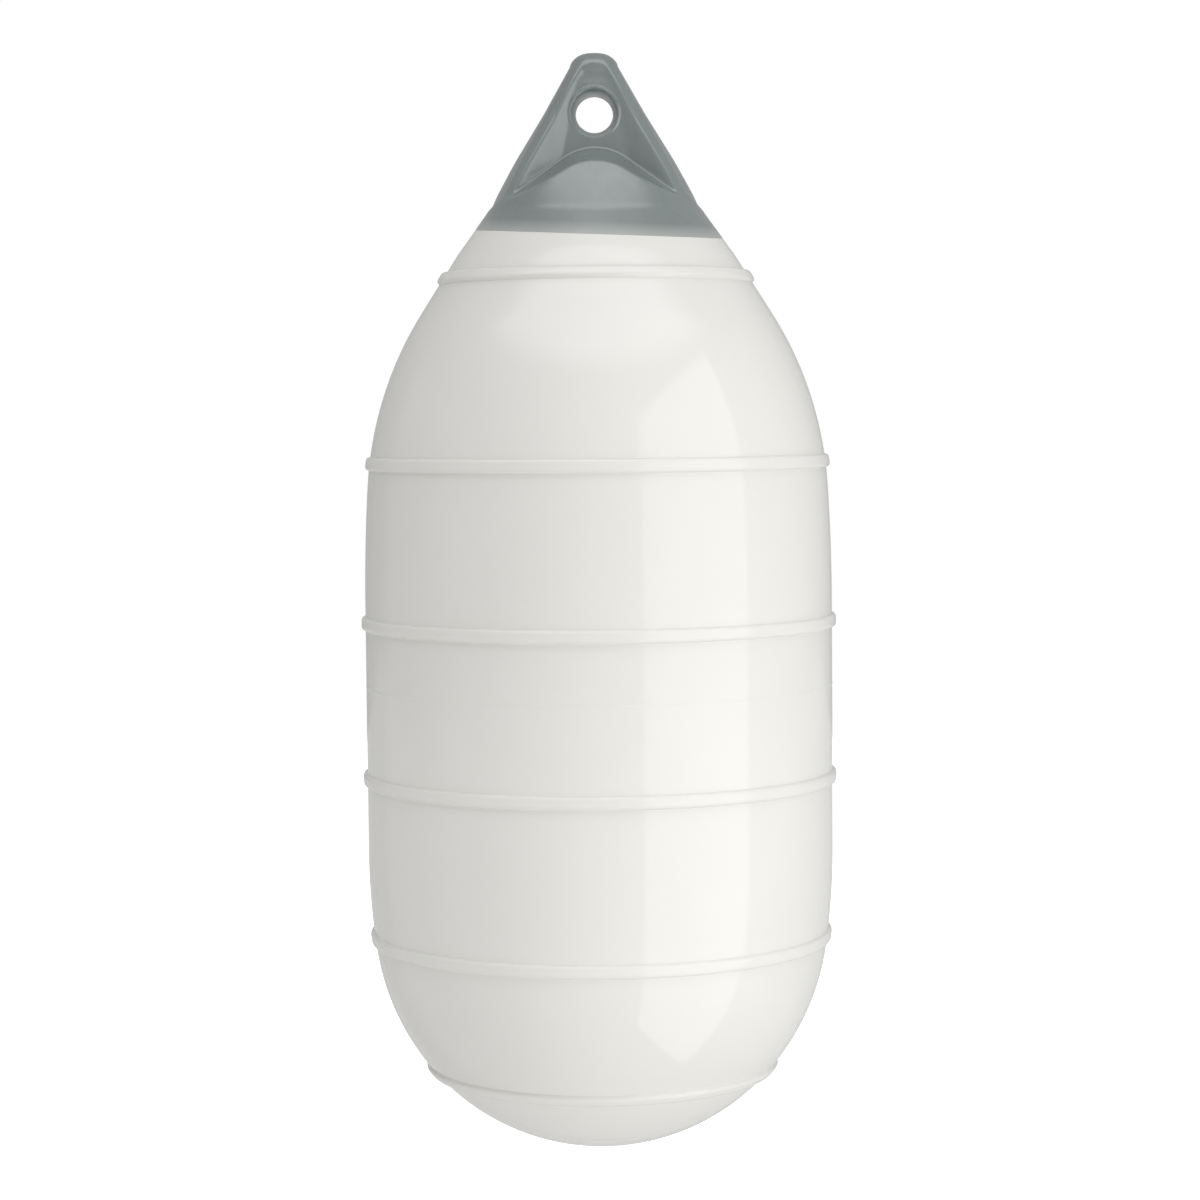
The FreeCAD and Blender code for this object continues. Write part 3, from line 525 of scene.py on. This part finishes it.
def side_recess(shape, aside, height):
    """Depth of the shallow recess in each side.

    aside is the angle from the side's middle. The depth is read from a table by height. It
    fades from a little outside the ribs' edges inwards, under the cap, and across the foot,
    which curves up towards the ribs.
    """
    from_rib = (POCKET_REACH - aside) * cone_radius(height)
    foot = POCKET_FOOT + POCKET_FOOT_RISE * (aside / POCKET_REACH) ** 2
    depth = np.interp(height, POCKET_HEIGHTS, POCKET_SHARES) * shape.pocket_depth / MM
    at_rib = ease(from_rib / POCKET_RIB_FADE + 0.15)
    at_foot = ease((height - foot) / POCKET_FOOT_FADE + 0.5)
    return depth * at_rib * at_foot * ease((POCKET_TOP - height) / POCKET_TOP_FADE)


def envelope_distance(shape, radius, height, aside):
    """Distance outside the cone's turned outline, less its side recesses.

    Over the line from the cap's centre along the flank's normal it is the distance from the
    cap's round, and under it the distance from the outline times the slope's cosine.
    """
    centre_radius, centre_height = cap_centre()
    over = (height - centre_height) * math.cos(FLANK_ANGLE) > (
        radius - centre_radius) * math.sin(FLANK_ANGLE)
    cap = np.hypot(np.maximum(radius - centre_radius, 0), height - centre_height) - CAP_ROUND
    side = (radius - cone_radius(height) + side_recess(shape, aside, height)) * OUTLINE_COSINE
    return np.where(over, cap, side)


def web_distance(aside, depth, height):
    """Distance in front of the web's leaning face, which rolls over the top in an arc.

    Over the eye the face has a shallow hollow: its depth times a bell curve of the height and
    of the square of the way aside.
    """
    face = WEB_HALF_TOP + (WEB_TOP - height) * math.tan(WEB_DRAFT)
    plane = (depth - face) * math.cos(WEB_DRAFT)
    roll_depth = WEB_HALF_TOP - WEB_ROLL * math.cos(WEB_DRAFT)
    roll_height = WEB_TOP - WEB_ROLL * math.sin(WEB_DRAFT)
    over = (height - roll_height) * math.cos(WEB_DRAFT) > (depth - roll_depth) * math.sin(WEB_DRAFT)
    roll = np.hypot(np.maximum(depth - roll_depth, 0), height - roll_height) - WEB_ROLL
    hollow = HOLLOW_DEPTH * np.exp(
        -((height - HOLLOW_HEIGHT) / HOLLOW_HALF_HEIGHT) ** 2 - (aside / HOLLOW_HALF_WIDTH) ** 4)
    return np.where(over, roll, plane) + hollow


def facet_distance(aside, depth):
    """Distance inwards from the side facets, which flare from the web's edge at the eye."""
    wide = WEB_HALF_WIDTH + (depth - WEB_AT_EYE) * FACET_FLARE
    return (wide - aside) / math.hypot(1, FACET_FLARE)


def ledge_distance(aside, depth, height):
    """Height over the ledge times its slope's cosine.

    The ledge falls evenly to the front and arches to each side: an arc at the crown, straight
    slopes beyond it. A shallow flat-bottomed dimple is in its middle.
    """
    reach = ARCH_ROUND * math.sin(ARCH_ANGLE)
    arc = ARCH_ROUND - np.sqrt(ARCH_ROUND ** 2 - np.minimum(aside, reach) ** 2)
    arch = arc + np.maximum(aside - reach, 0) * math.tan(ARCH_ANGLE)
    dimple = DIMPLE_DEPTH * np.exp(
        -(aside / DIMPLE_HALF_WIDTH) ** 4 - ((depth - DIMPLE_PLACE) / DIMPLE_HALF_DEPTH) ** 4)
    over = height - (LEDGE_CROWN - depth * LEDGE_FALL - arch - dimple)
    return over * LEDGE_COSINE / math.hypot(1, LEDGE_FALL)


def rib_distance(envelope, height, aside):
    """Distance outside the rib's front face, which leans inwards from the rib's crest.

    The lean fades under the cap.
    """
    lean = np.clip((aside - RIB_CREST) / (RIB_VALLEY - RIB_CREST), 0, 1)
    return envelope + RIB_SET_BACK * lean * ease((RIB_FADE_TOP - height) / RIB_FADE)


def rim_distance(aside, depth, height):
    """Distance outside the raised rim round the eye, a short drum across the web."""
    return smooth_max(np.hypot(aside, height) - RIM_RADIUS, depth - WEB_AT_EYE - RIM_HEIGHT,
                      RIM_EDGE_BLEND)


def cone_distance(shape, points):
    """Distance outside the rope cone, without its eye: the turned cone less the two recesses.

    A recess is in front of the web, between the facets, over the ledge and in front of the
    ribs' leaning faces. Hollow corners are blended over their own widths. Convex corners are
    blended over one width at the ribs and over a smaller one along the ledge's front edge.
    """
    across, along, height = np.abs(points[..., 0]), np.abs(points[..., 1]), points[..., 2]
    radius = np.hypot(across, along)
    from_side = np.arctan2(along, across)
    envelope = envelope_distance(shape, radius, height, from_side)
    walls = smooth_min(web_distance(across, along, height), facet_distance(across, along),
                       WEB_CORNER_BLEND)
    ledge = ledge_distance(across, along, height)
    ribs = smooth_max(walls, rib_distance(envelope, height, from_side), VALLEY_BLEND)
    recess = smooth_min(ribs, ledge, shape.ledge_round / MM)
    over = ease(ledge / CREST_CHANGE)
    crest = shape.lip_round / MM * (1 - over) + shape.rib_round / MM * over
    body = smooth_max(envelope, recess, crest)
    rim = smooth_max(rim_distance(across, along, height), envelope, RIM_SIDE_BLEND)
    return smooth_min(body, rim, RIM_ROOT_BLEND)


def cone_bearings():
    """Bearings round the axis from the front, closest across the ribs.

    A quarter from the front to a side is mirrored, and the half is turned by 180 degrees.
    """
    quarter = np.radians(np.concatenate([
        np.linspace(*span, endpoint=False) for span in BEARING_SPANS]))
    half = np.concatenate([quarter, [math.pi / 2], math.pi - quarter[:0:-1]])
    return np.concatenate([half, half + math.pi]) - math.pi / 2


def surface_reach(shape, start, ray):
    """How far along each ray the cone's surface lies, by halving the span it is in."""
    near = np.zeros(start.shape[:-1])
    far = np.full_like(near, RAY_REACH)
    for _ in range(RAY_HALVINGS):
        middle = (near + far) / 2
        outside = cone_distance(shape, start + ray * middle[..., None]) > 0
        far = np.where(outside, middle, far)
        near = np.where(outside, near, middle)
    return near


def cone_rows(shape):
    """Every ring of the cone, where rays from its axis meet its surface.

    Rays rise at 25 degrees from the axis, and over the cap they turn up to the pole. The last
    outside ring lies on the leaning edge, and the rings after it close the foot and the socket.
    """
    theta = cone_bearings()
    cap, ledge, skirt = RAY_BASES
    over_cap, to_ledge, to_skirt, over_skirt = RAY_COUNTS
    edge_radius, edge_height = edge_ring(theta)
    edge_base = edge_height - edge_radius * math.tan(RAY_RISE)
    level = np.concatenate([
        np.full(over_cap, cap), np.linspace(cap, ledge, to_ledge, endpoint=False),
        np.linspace(ledge, skirt, to_skirt, endpoint=False)])
    base = np.concatenate([
        np.repeat(level[:, None], len(theta), 1),
        skirt + (edge_base - skirt) * np.linspace(0, 1, over_skirt)[:, None]])
    rise = np.full((len(base), 1), RAY_RISE)
    rise[:over_cap, 0] = np.linspace(RAY_STEEPEST, RAY_RISE, over_cap, endpoint=False)
    ray = ring_points(theta, np.cos(rise), np.sin(rise))
    start = np.stack([np.zeros_like(base), np.zeros_like(base), base], -1)
    outer = start + ray * surface_reach(shape, start, ray)[..., None]
    lip = ring_points(theta, edge_radius + CONTACT_GAP, edge_height)
    sole_radius = np.array(SOLE_RADII)[:, None]
    sole = ring_points(theta, sole_radius, plane_height(theta, sole_radius))
    socket = ring_points(theta, SPIGOT_RADIUS, SPIGOT_TOP)
    return np.concatenate([outer, lip[None], sole, socket[None]])


def eye_cutter():
    """The eye as a turned tool along Y: straight throat, bell mouth and a rounded lip.

    The bell widens by a power of the way through it. The lip is an arc that goes on from the
    bell's end, so its first turn is left out. Outside it the tool flares past the rim.
    """
    rim = WEB_AT_EYE + RIM_HEIGHT
    turn = np.radians(np.linspace(*LIP_TURN))[1:]
    along = np.linspace(0, 1, BELL_RINGS)
    bell_depth = EYE_LAND + (rim - BELL_SHORT - EYE_LAND) * along
    bell_radius = EYE_RADIUS + (EYE_MOUTH - BELL_NARROW - EYE_RADIUS) * along ** BELL_POWER
    lip_depth = rim - LIP_ROUND + LIP_ROUND * np.sin(turn) + LIP_PROUD
    lip_radius = EYE_MOUTH + LIP_SET_OUT - LIP_ROUND * np.cos(turn)
    way_out, widening = np.transpose(TOOL_FLARE)
    depth = np.concatenate([bell_depth, lip_depth, rim + way_out])
    radius = np.concatenate([bell_radius, lip_radius, lip_radius[-1] + widening])
    depth = np.concatenate([depth[::-1], -depth])
    ring = turned(bearings(EYE_AROUND), np.concatenate([radius[::-1], radius]), depth)
    rows = np.stack([ring[..., 0], ring[..., 2], -ring[..., 1]], -1)
    return closed_grid("eye_cutter", rows, (0.0, depth[0], 0.0), (0.0, depth[-1], 0.0))


def cut_mesh(mesh, cutter):
    """A closed mesh less another one, as a new mesh."""
    whole = bpy.data.objects.new("whole", mesh)
    tool = bpy.data.objects.new("tool", cutter)
    for item in (whole, tool):
        bpy.context.scene.collection.objects.link(item)
    cut = whole.modifiers.new("cut", "BOOLEAN")
    cut.operation = "DIFFERENCE"
    cut.solver = "MANIFOLD"
    cut.object = tool
    graph = bpy.context.evaluated_depsgraph_get()
    result = bpy.data.meshes.new_from_object(whole.evaluated_get(graph))
    for item in (whole, tool):
        bpy.data.objects.remove(item)
    bpy.data.meshes.remove(cutter)
    return result


class BUOY_OT_cone(bpy.types.Operator):
    """Build the grey rope cone with its recesses and its eye"""

    bl_idname = "buoy.cone"
    bl_label = "Rope cone"

    def execute(self, context):
        scene = context.scene
        rows = cone_rows(scene.buoy_shape)
        mesh = closed_grid("rope_cone", rows, (0.0, 0.0, APEX_HEIGHT), (0.0, 0.0, SPIGOT_TOP))
        mesh = cut_mesh(mesh, eye_cutter())
        if not mesh.polygons:
            raise RuntimeError("the rope cone's eye left no mesh")
        add_piece("rope_cone", mesh, cone_vinyl(scene.buoy_finish), "ropehold", 32.0)
        return {"FINISHED"}


# Air valve


def placed(points):
    """Points of the valve's own frame, put at its place on the back of the barrel.

    The frame's origin is on the shoulder's face, and its Z is the face's normal.
    """
    turn = Matrix.Rotation(VALVE_SLOPE - math.pi / 2, 4, "X")
    matrix = np.array(Matrix.Translation((0, *VALVE_PLACE)) @ turn)
    return np.asarray(points) @ matrix[:3, :3].T + matrix[:3, 3]


def valve_piece(name, rows, top, foot):
    """A closed mesh of the valve from rings in its own frame and the heights of its poles."""
    return closed_grid(name, placed(rows), placed((0.0, 0.0, top)), placed((0.0, 0.0, foot)))


def valve_flange():
    """The moulded flange: a flat ring with a round edge, sunk into the shoulder at its foot."""
    turn = np.linspace(math.pi / 2, 0, 9)
    root_radii, root_heights = np.transpose(FLANGE_ROOT)
    radii = np.concatenate([
        [VALVE_BORE, FLANGE_FLAT], FLANGE_RADIUS - FLANGE_ROUND + FLANGE_ROUND * np.cos(turn),
        root_radii, [VALVE_BORE]])
    heights = np.concatenate([
        [FLANGE_FACE, FLANGE_FACE], FLANGE_FACE - FLANGE_ROUND + FLANGE_ROUND * np.sin(turn),
        root_heights, [FLANGE_FOOT]])
    rows = turned(bearings(FLANGE_AROUND), radii, heights)
    return valve_piece("valve_flange", rows, FLANGE_FACE, FLANGE_FOOT)


def plug_head():
    """The plug's head as a height over a disc, with a coin slot across it, and its shank.

    The head is level to its round edge. The slot is a soft step down on each side of its line.
    """
    theta = bearings(PLUG_AROUND)
    flat = np.linspace(*PLUG_FLAT)
    turn = np.radians(np.arange(0, 91, 9))
    edge_radius = PLUG_RADIUS - PLUG_ROUND + PLUG_ROUND * np.sin(turn)
    edge_height = PLUG_FACE - PLUG_ROUND + PLUG_ROUND * np.cos(turn)
    disc = turned(theta, np.concatenate([flat, edge_radius]),
                  np.concatenate([np.full_like(flat, PLUG_FACE), edge_height]))
    step = SLOT_DEPTH * ease((SLOT_HALF_WIDTH - np.abs(disc[..., 1])) / SLOT_EDGE)
    disc[..., 2] = np.maximum(disc[..., 2] - step, SLOT_LOWEST)
    under = turned(theta, (PLUG_RADIUS, SHANK_RADIUS, SHANK_RADIUS),
                   (PLUG_SOLE, PLUG_SOLE, SHANK_TIP))
    rows = np.concatenate([disc, under])
    return valve_piece("plug_head", rows, PLUG_FACE - SLOT_DEPTH, SHANK_TIP)


class BUOY_OT_valve(bpy.types.Operator):
    """Build the air valve's flange and its plug"""

    bl_idname = "buoy.valve"
    bl_label = "Air valve"

    def execute(self, context):
        finish = context.scene.buoy_finish
        add_piece("valve_flange", valve_flange(), barrel_vinyl(finish),
                  "buoy_body", 40.0)
        add_piece("plug_head", plug_head(), plug_plastic(finish),
                  "valve_plug", 40.0)
        return {"FINISHED"}


# Shader nodes


def new_material(name):
    """An empty node material: itself, its tree, its Principled shader and Object coordinates."""
    material = bpy.data.materials.new(name)
    material.use_nodes = True
    tree = material.node_tree
    coords = tree.nodes.new("ShaderNodeTexCoord")
    return material, tree, tree.nodes["Principled BSDF"], coords.outputs["Object"]


def feed(tree, socket, value):
    """Give a socket another node's output, or a constant."""
    if isinstance(value, bpy.types.NodeSocket):
        tree.links.new(value, socket)
    else:
        socket.default_value = value


def worked_out(tree, kind, operation, *values, output="Value"):
    """The output of a Math or VectorMath node, from outputs and constants."""
    node = tree.nodes.new("ShaderNode" + kind)
    node.operation = operation
    for socket, value in zip(node.inputs, values):
        feed(tree, socket, value)
    return node.outputs[output]


def mapped(tree, source, low, high, from_low=0.3, from_high=0.7, step="LINEAR"):
    """A value carried from one range, a noise's by default, to another, evenly or softly."""
    node = tree.nodes.new("ShaderNodeMapRange")
    node.interpolation_type = step
    node.inputs["From Min"].default_value = from_low
    node.inputs["From Max"].default_value = from_high
    node.inputs["To Min"].default_value = low
    node.inputs["To Max"].default_value = high
    tree.links.new(source, node.inputs["Value"])
    return node.outputs["Result"]


def noise(tree, place, scale, detail=3.0):
    """The value of a noise texture at a place."""
    texture = tree.nodes.new("ShaderNodeTexNoise")
    texture.inputs["Scale"].default_value = scale
    texture.inputs["Detail"].default_value = detail
    tree.links.new(place, texture.inputs["Vector"])
    return texture.outputs["Fac"]


def opaque(colour, share=1.0):
    """A share of a colour, with full alpha."""
    return (*(Vector(colour) * share), 1)


def tinted(tree, factor, first, second):
    """A colour between two, by a factor."""
    node = tree.nodes.new("ShaderNodeMix")
    node.data_type = "RGBA"
    for socket, value in zip((node.inputs[0], node.inputs[6], node.inputs[7]),
                             (factor, first, second)):
        feed(tree, socket, value)
    return node.outputs[2]


def clouded(tree, place, colour, scale, dark, light):
    """A colour that noise varies between a darker and a lighter share of it."""
    clouds = mapped(tree, noise(tree, place, scale), 0, 1)
    return tinted(tree, clouds, opaque(colour, dark), opaque(colour, light))


def varied_gloss(tree, shader, place, roughness, scale, low, high):
    """Roughness that noise varies between a lower and a higher share of it."""
    rough = mapped(tree, noise(tree, place, scale), roughness * low, roughness * high)
    tree.links.new(rough, shader.inputs["Roughness"])


def bumped(tree, shader, height, distance, strength, before=None):
    """Bump from a height, over an earlier bump where there is one."""
    node = tree.nodes.new("ShaderNodeBump")
    node.inputs["Distance"].default_value = distance
    node.inputs["Strength"].default_value = strength
    tree.links.new(height, node.inputs["Height"])
    if before is not None:
        tree.links.new(before, node.inputs["Normal"])
    tree.links.new(node.outputs["Normal"], shader.inputs["Normal"])
    return node.outputs["Normal"]


# Materials


def barrel_vinyl(finish):
    """Glossy blown white vinyl: faint clouding, a skin that waves a little, fine grain."""
    if "barrel_vinyl" in bpy.data.materials:
        return bpy.data.materials["barrel_vinyl"]
    material, tree, shader, place = new_material("barrel_vinyl")
    shade = clouded(tree, place, finish.barrel_colour, scale=7.0, dark=0.985, light=1.012)
    tree.links.new(shade, shader.inputs["Base Color"])
    varied_gloss(tree, shader, place, finish.barrel_roughness, scale=60.0, low=0.8, high=1.25)
    shader.inputs["IOR"].default_value = BARREL_IOR
    wave = bumped(tree, shader, noise(tree, place, scale=16.0, detail=1.0),
                  distance=0.0006, strength=0.25)
    bumped(tree, shader, noise(tree, place, scale=900.0),
           distance=0.00004, strength=0.35, before=wave)
    return material


def cone_vinyl(finish):
    """Satin moulded grey vinyl with faint flow streaks, and painted light that makes the skirt
    paler at its edge.

    The streaks are noise stretched up the axis. The skirt is painted evenly paler from 9 mm over
    the leaning edge down to it: painted light, standing for light showing through the thin vinyl
    from the white barrel.
    """
    material, tree, shader, place = new_material("cone_vinyl")
    shade = clouded(tree, place, finish.cone_colour, scale=24.0, dark=0.96, light=1.04)
    stretched = worked_out(tree, "VectorMath", "MULTIPLY", place, STREAK_SCALE, output="Vector")
    flow = mapped(tree, noise(tree, stretched, scale=1.0), 0, 0.10)
    streaked = tinted(tree, flow, shade, opaque(finish.cone_colour, STREAK_BRIGHTNESS))
    lean = Vector((math.cos(EDGE_HEADING), math.sin(EDGE_HEADING), 0)) * math.tan(EDGE_TILT)
    over_plane = worked_out(tree, "VectorMath", "DOT_PRODUCT", place, lean + Vector((0, 0, 1)))
    # Painted light: the skirt's colour is mixed towards the barrel's white near the leaning edge, a
    # painted glow of light through the thin vinyl.
    painted_glow = mapped(tree, over_plane, PAINTED_GLOW_SHARE, 0.0, from_low=EDGE_HEIGHT * MM,
                  from_high=(EDGE_HEIGHT + PAINTED_GLOW_REACH) * MM)
    glow_painted = tinted(tree, painted_glow, streaked, opaque(finish.barrel_colour))
    tree.links.new(glow_painted, shader.inputs["Base Color"])
    varied_gloss(tree, shader, place, finish.cone_roughness, scale=90.0, low=0.85, high=1.2)
    shader.inputs["IOR"].default_value = CONE_IOR
    bumped(tree, shader, noise(tree, place, scale=45.0, detail=1.0), distance=0.0004, strength=0.3)
    return material


def plug_plastic(finish):
    """Satin moulded plastic with a fine grain."""
    material, tree, shader, place = new_material("plug_plastic")
    shade = clouded(tree, place, finish.plug_colour, scale=120.0, dark=0.95, light=1.03)
    tree.links.new(shade, shader.inputs["Base Color"])
    shader.inputs["Roughness"].default_value = PLUG_ROUGHNESS
    bumped(tree, shader, noise(tree, place, scale=1600.0), distance=0.00004, strength=0.4)
    return material


# Studio


def background_share(tree):
    """How far a background shows white by the kind of ray.

    It is 1 to the camera and through clear pieces, a smaller share in mirrored light, because
    the photograph's vinyl mirrors a darker room at its rims, and 0 where it only lights.
    """
    rays = tree.nodes.new("ShaderNodeLightPath").outputs
    seen = worked_out(tree, "Math", "MULTIPLY_ADD", rays["Is Glossy Ray"], MIRRORED_WHITE,
                      rays["Is Camera Ray"])
    return worked_out(tree, "Math", "MAXIMUM", seen, rays["Is Transmission Ray"])


def make_floor(height):
    """A pale floor that keeps the buoy's shadow and shows white away from it.

    Where it shows white it glows over what lights it: by 0.4 up to 1.5 metres off the axis, and
    by 1 from 3 metres on.
    """
    mesh = bpy.data.meshes.new("floor")
    corners = [(-FLOOR_HALF, -FLOOR_HALF, 0), (FLOOR_HALF, -FLOOR_HALF, 0),
               (FLOOR_HALF, FLOOR_HALF, 0), (-FLOOR_HALF, FLOOR_HALF, 0)]
    mesh.from_pydata(corners, [], [(0, 1, 2, 3)])
    material, tree, shader, place = new_material("pale_floor")
    shader.inputs["Base Color"].default_value = FLOOR_COLOUR
    shader.inputs["Roughness"].default_value = FLOOR_ROUGHNESS
    white = tree.nodes.new("ShaderNodeEmission")
    away = worked_out(tree, "VectorMath", "LENGTH", place)
    glow = worked_out(tree, "Math", "MULTIPLY", background_share(tree),
                      mapped(tree, away, 0.4, 1.0, from_low=1.5, from_high=3.0))
    tree.links.new(glow, white.inputs["Strength"])
    both = tree.nodes.new("ShaderNodeAddShader")
    tree.links.new(shader.outputs[0], both.inputs[0])
    tree.links.new(white.outputs[0], both.inputs[1])
    tree.links.new(both.outputs[0], tree.nodes["Material Output"].inputs["Surface"])
    mesh.materials.append(material)
    floor = bpy.data.objects.new("floor", mesh)
    floor.location.z = height
    bpy.context.scene.collection.objects.link(floor)


def make_room(level, canopy):
    """The room: an even grey light with a soft canopy over the front, white behind the buoy.

    The canopy is the front part of the sky from 45 degrees up. It ends overhead along a plane
    that leans 45 degrees, where height plus depth passes 0.7.
    """
    world = bpy.data.worlds.new("room")
    world.use_nodes = True
    bpy.context.scene.world = world
    tree = world.node_tree
    heading = tree.nodes.new("ShaderNodeTexCoord").outputs["Generated"]
    bounds = [mapped(tree, worked_out(tree, "VectorMath", "DOT_PRODUCT", heading, axis),
                     0, 1, *span, "SMOOTHSTEP")
              for axis, span in (((0, 0, 1), CANOPY_FOOT), ((0, 1, 1), CANOPY_BACK))]
    share = worked_out(tree, "Math", "MULTIPLY", *bounds)
    glow = worked_out(tree, "Math", "MULTIPLY_ADD", share, canopy, level)
    light = tree.nodes["Background"]
    white = tree.nodes.new("ShaderNodeBackground")
    tree.links.new(glow, light.inputs["Strength"])
    for background in (light, white):
        background.inputs["Color"].default_value = WHITE
    mix = tree.nodes.new("ShaderNodeMixShader")
    tree.links.new(background_share(tree), mix.inputs[0])
    tree.links.new(light.outputs[0], mix.inputs[1])
    tree.links.new(white.outputs[0], mix.inputs[2])
    tree.links.new(mix.outputs[0], tree.nodes["World Output"].inputs["Surface"])


def softbox(name, place, towards, width, height, level, mirrored=True):
    """An area lamp of a size at a place, looking along a direction, its face at a level.

    Its power is four times its face's radiance times its area. A fill light isn't mirrored in
    the vinyl.
    """
    lamp = bpy.data.lights.new(name, "AREA")
    lamp.shape = "RECTANGLE"
    lamp.size, lamp.size_y = width, height
    lamp.energy = level * 4 * width * height
    item = bpy.data.objects.new(name, lamp)
    turn = Vector(towards).to_track_quat("-Z", "Y").to_matrix().to_4x4()
    item.matrix_world = Matrix.Translation(place) @ turn
    item.visible_camera = False
    item.visible_glossy = mirrored
    bpy.context.scene.collection.objects.link(item)


def upright_softbox(name, bearing, distance, first, last, low, high, level):
    """A softbox on an upright plane at a bearing to the right of the front.

    The plane is a distance from the axis. The box reaches along it from first to last, counted
    anticlockwise as seen from above from the foot of that distance, and up from low to high.
    """
    angle = math.radians(bearing)
    out = Vector((math.sin(angle), -math.cos(angle), 0))
    along = Vector((math.cos(angle), math.sin(angle), 0))
    place = out * distance + along * (first + last) / 2 + Vector((0, 0, (low + high) / 2))
    softbox(name, place, -out, last - first, high - low, level)


def make_camera():
    """The photograph's camera: a 93 mm lens 0.21 metres under the eye, looking 3.6 degrees down."""
    data = bpy.data.cameras.new("camera")
    data.sensor_width = 36.0
    data.lens = CAMERA_LENS
    data.clip_end = 50.0
    camera = bpy.data.objects.new("camera", data)
    turn = (Matrix.Rotation(math.radians(90 - CAMERA_DOWN), 4, "X")
            @ Matrix.Rotation(math.radians(CAMERA_ROLL), 4, "Z"))
    camera.matrix_world = Matrix.Translation(CAMERA_PLACE) @ turn
    bpy.context.scene.collection.objects.link(camera)
    bpy.context.scene.camera = camera


class BUOY_OT_studio(bpy.types.Operator):
    """Build the camera, the pale floor, the room and the lamps"""

    bl_idname = "buoy.studio"
    bl_label = "Studio"

    def execute(self, context):
        light = context.scene.buoy_light
        make_camera()
        make_floor(CAD_BOX[0].z - light.floor_drop)
        make_room(light.room_level, light.canopy_level)
        upright_softbox("right_softbox", bearing=75, distance=0.60, first=-0.86, last=-0.09,
                        low=-1.58, high=0.24, level=light.right_level)
        upright_softbox("left_softbox", bearing=-95, distance=0.90, first=-0.40, last=0.66,
                        low=-1.72, high=0.165, level=light.left_level)
        softbox("front_fill", place=(0.0, -3.0, -1.15), towards=(0, 3.0, 0.75),
                width=2.2, height=1.2, level=light.front_level, mirrored=False)
        softbox("rim_fill", place=(2.5, 1.17, -0.36), towards=(-2.5, -1.17, 0),
                width=1.5, height=1.5, level=light.rim_level, mirrored=False)
        softbox("top_softbox", place=(0.0, -0.25, 1.9), towards=(0.0, 0.25, -1.9),
                width=3.0, height=1.5, level=light.top_level, mirrored=False)
        context.scene.view_settings.view_transform = "Standard"
        return {"FINISHED"}


class BUOY_PT_sidebar(bpy.types.Panel):
    """The buoy's sizes, colours and pieces"""

    bl_idname = "BUOY_PT_sidebar"
    bl_label = "Mooring buoy"
    bl_space_type = "VIEW_3D"
    bl_region_type = "UI"
    bl_category = "Buoy"

    def draw(self, context):
        for group in GROUPS:
            box = self.layout.box()
            for name in group.__annotations__:
                box.prop(getattr(context.scene, GROUPS[group]), name)
        for operator in OPERATORS:
            self.layout.operator(operator.bl_idname)


GROUPS = {BuoyShape: "buoy_shape", BuoyFinish: "buoy_finish", StudioLight: "buoy_light"}
OPERATORS = (BUOY_OT_studio, BUOY_OT_barrel, BUOY_OT_cone, BUOY_OT_valve)


def register():
    for group, name in GROUPS.items():
        bpy.utils.register_class(group)
        setattr(bpy.types.Scene, name, bpy.props.PointerProperty(type=group))
    for item in OPERATORS + (BUOY_PT_sidebar,):
        bpy.utils.register_class(item)


def unregister():
    for item in (BUOY_PT_sidebar,) + OPERATORS[::-1]:
        bpy.utils.unregister_class(item)
    for group, name in GROUPS.items():
        delattr(bpy.types.Scene, name)
        bpy.utils.unregister_class(group)


def main():
    """Register the add-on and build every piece."""
    register()
    bpy.ops.buoy.studio()
    bpy.ops.buoy.barrel()
    bpy.ops.buoy.cone()
    bpy.ops.buoy.valve()


if __name__ == "__main__":
    main()
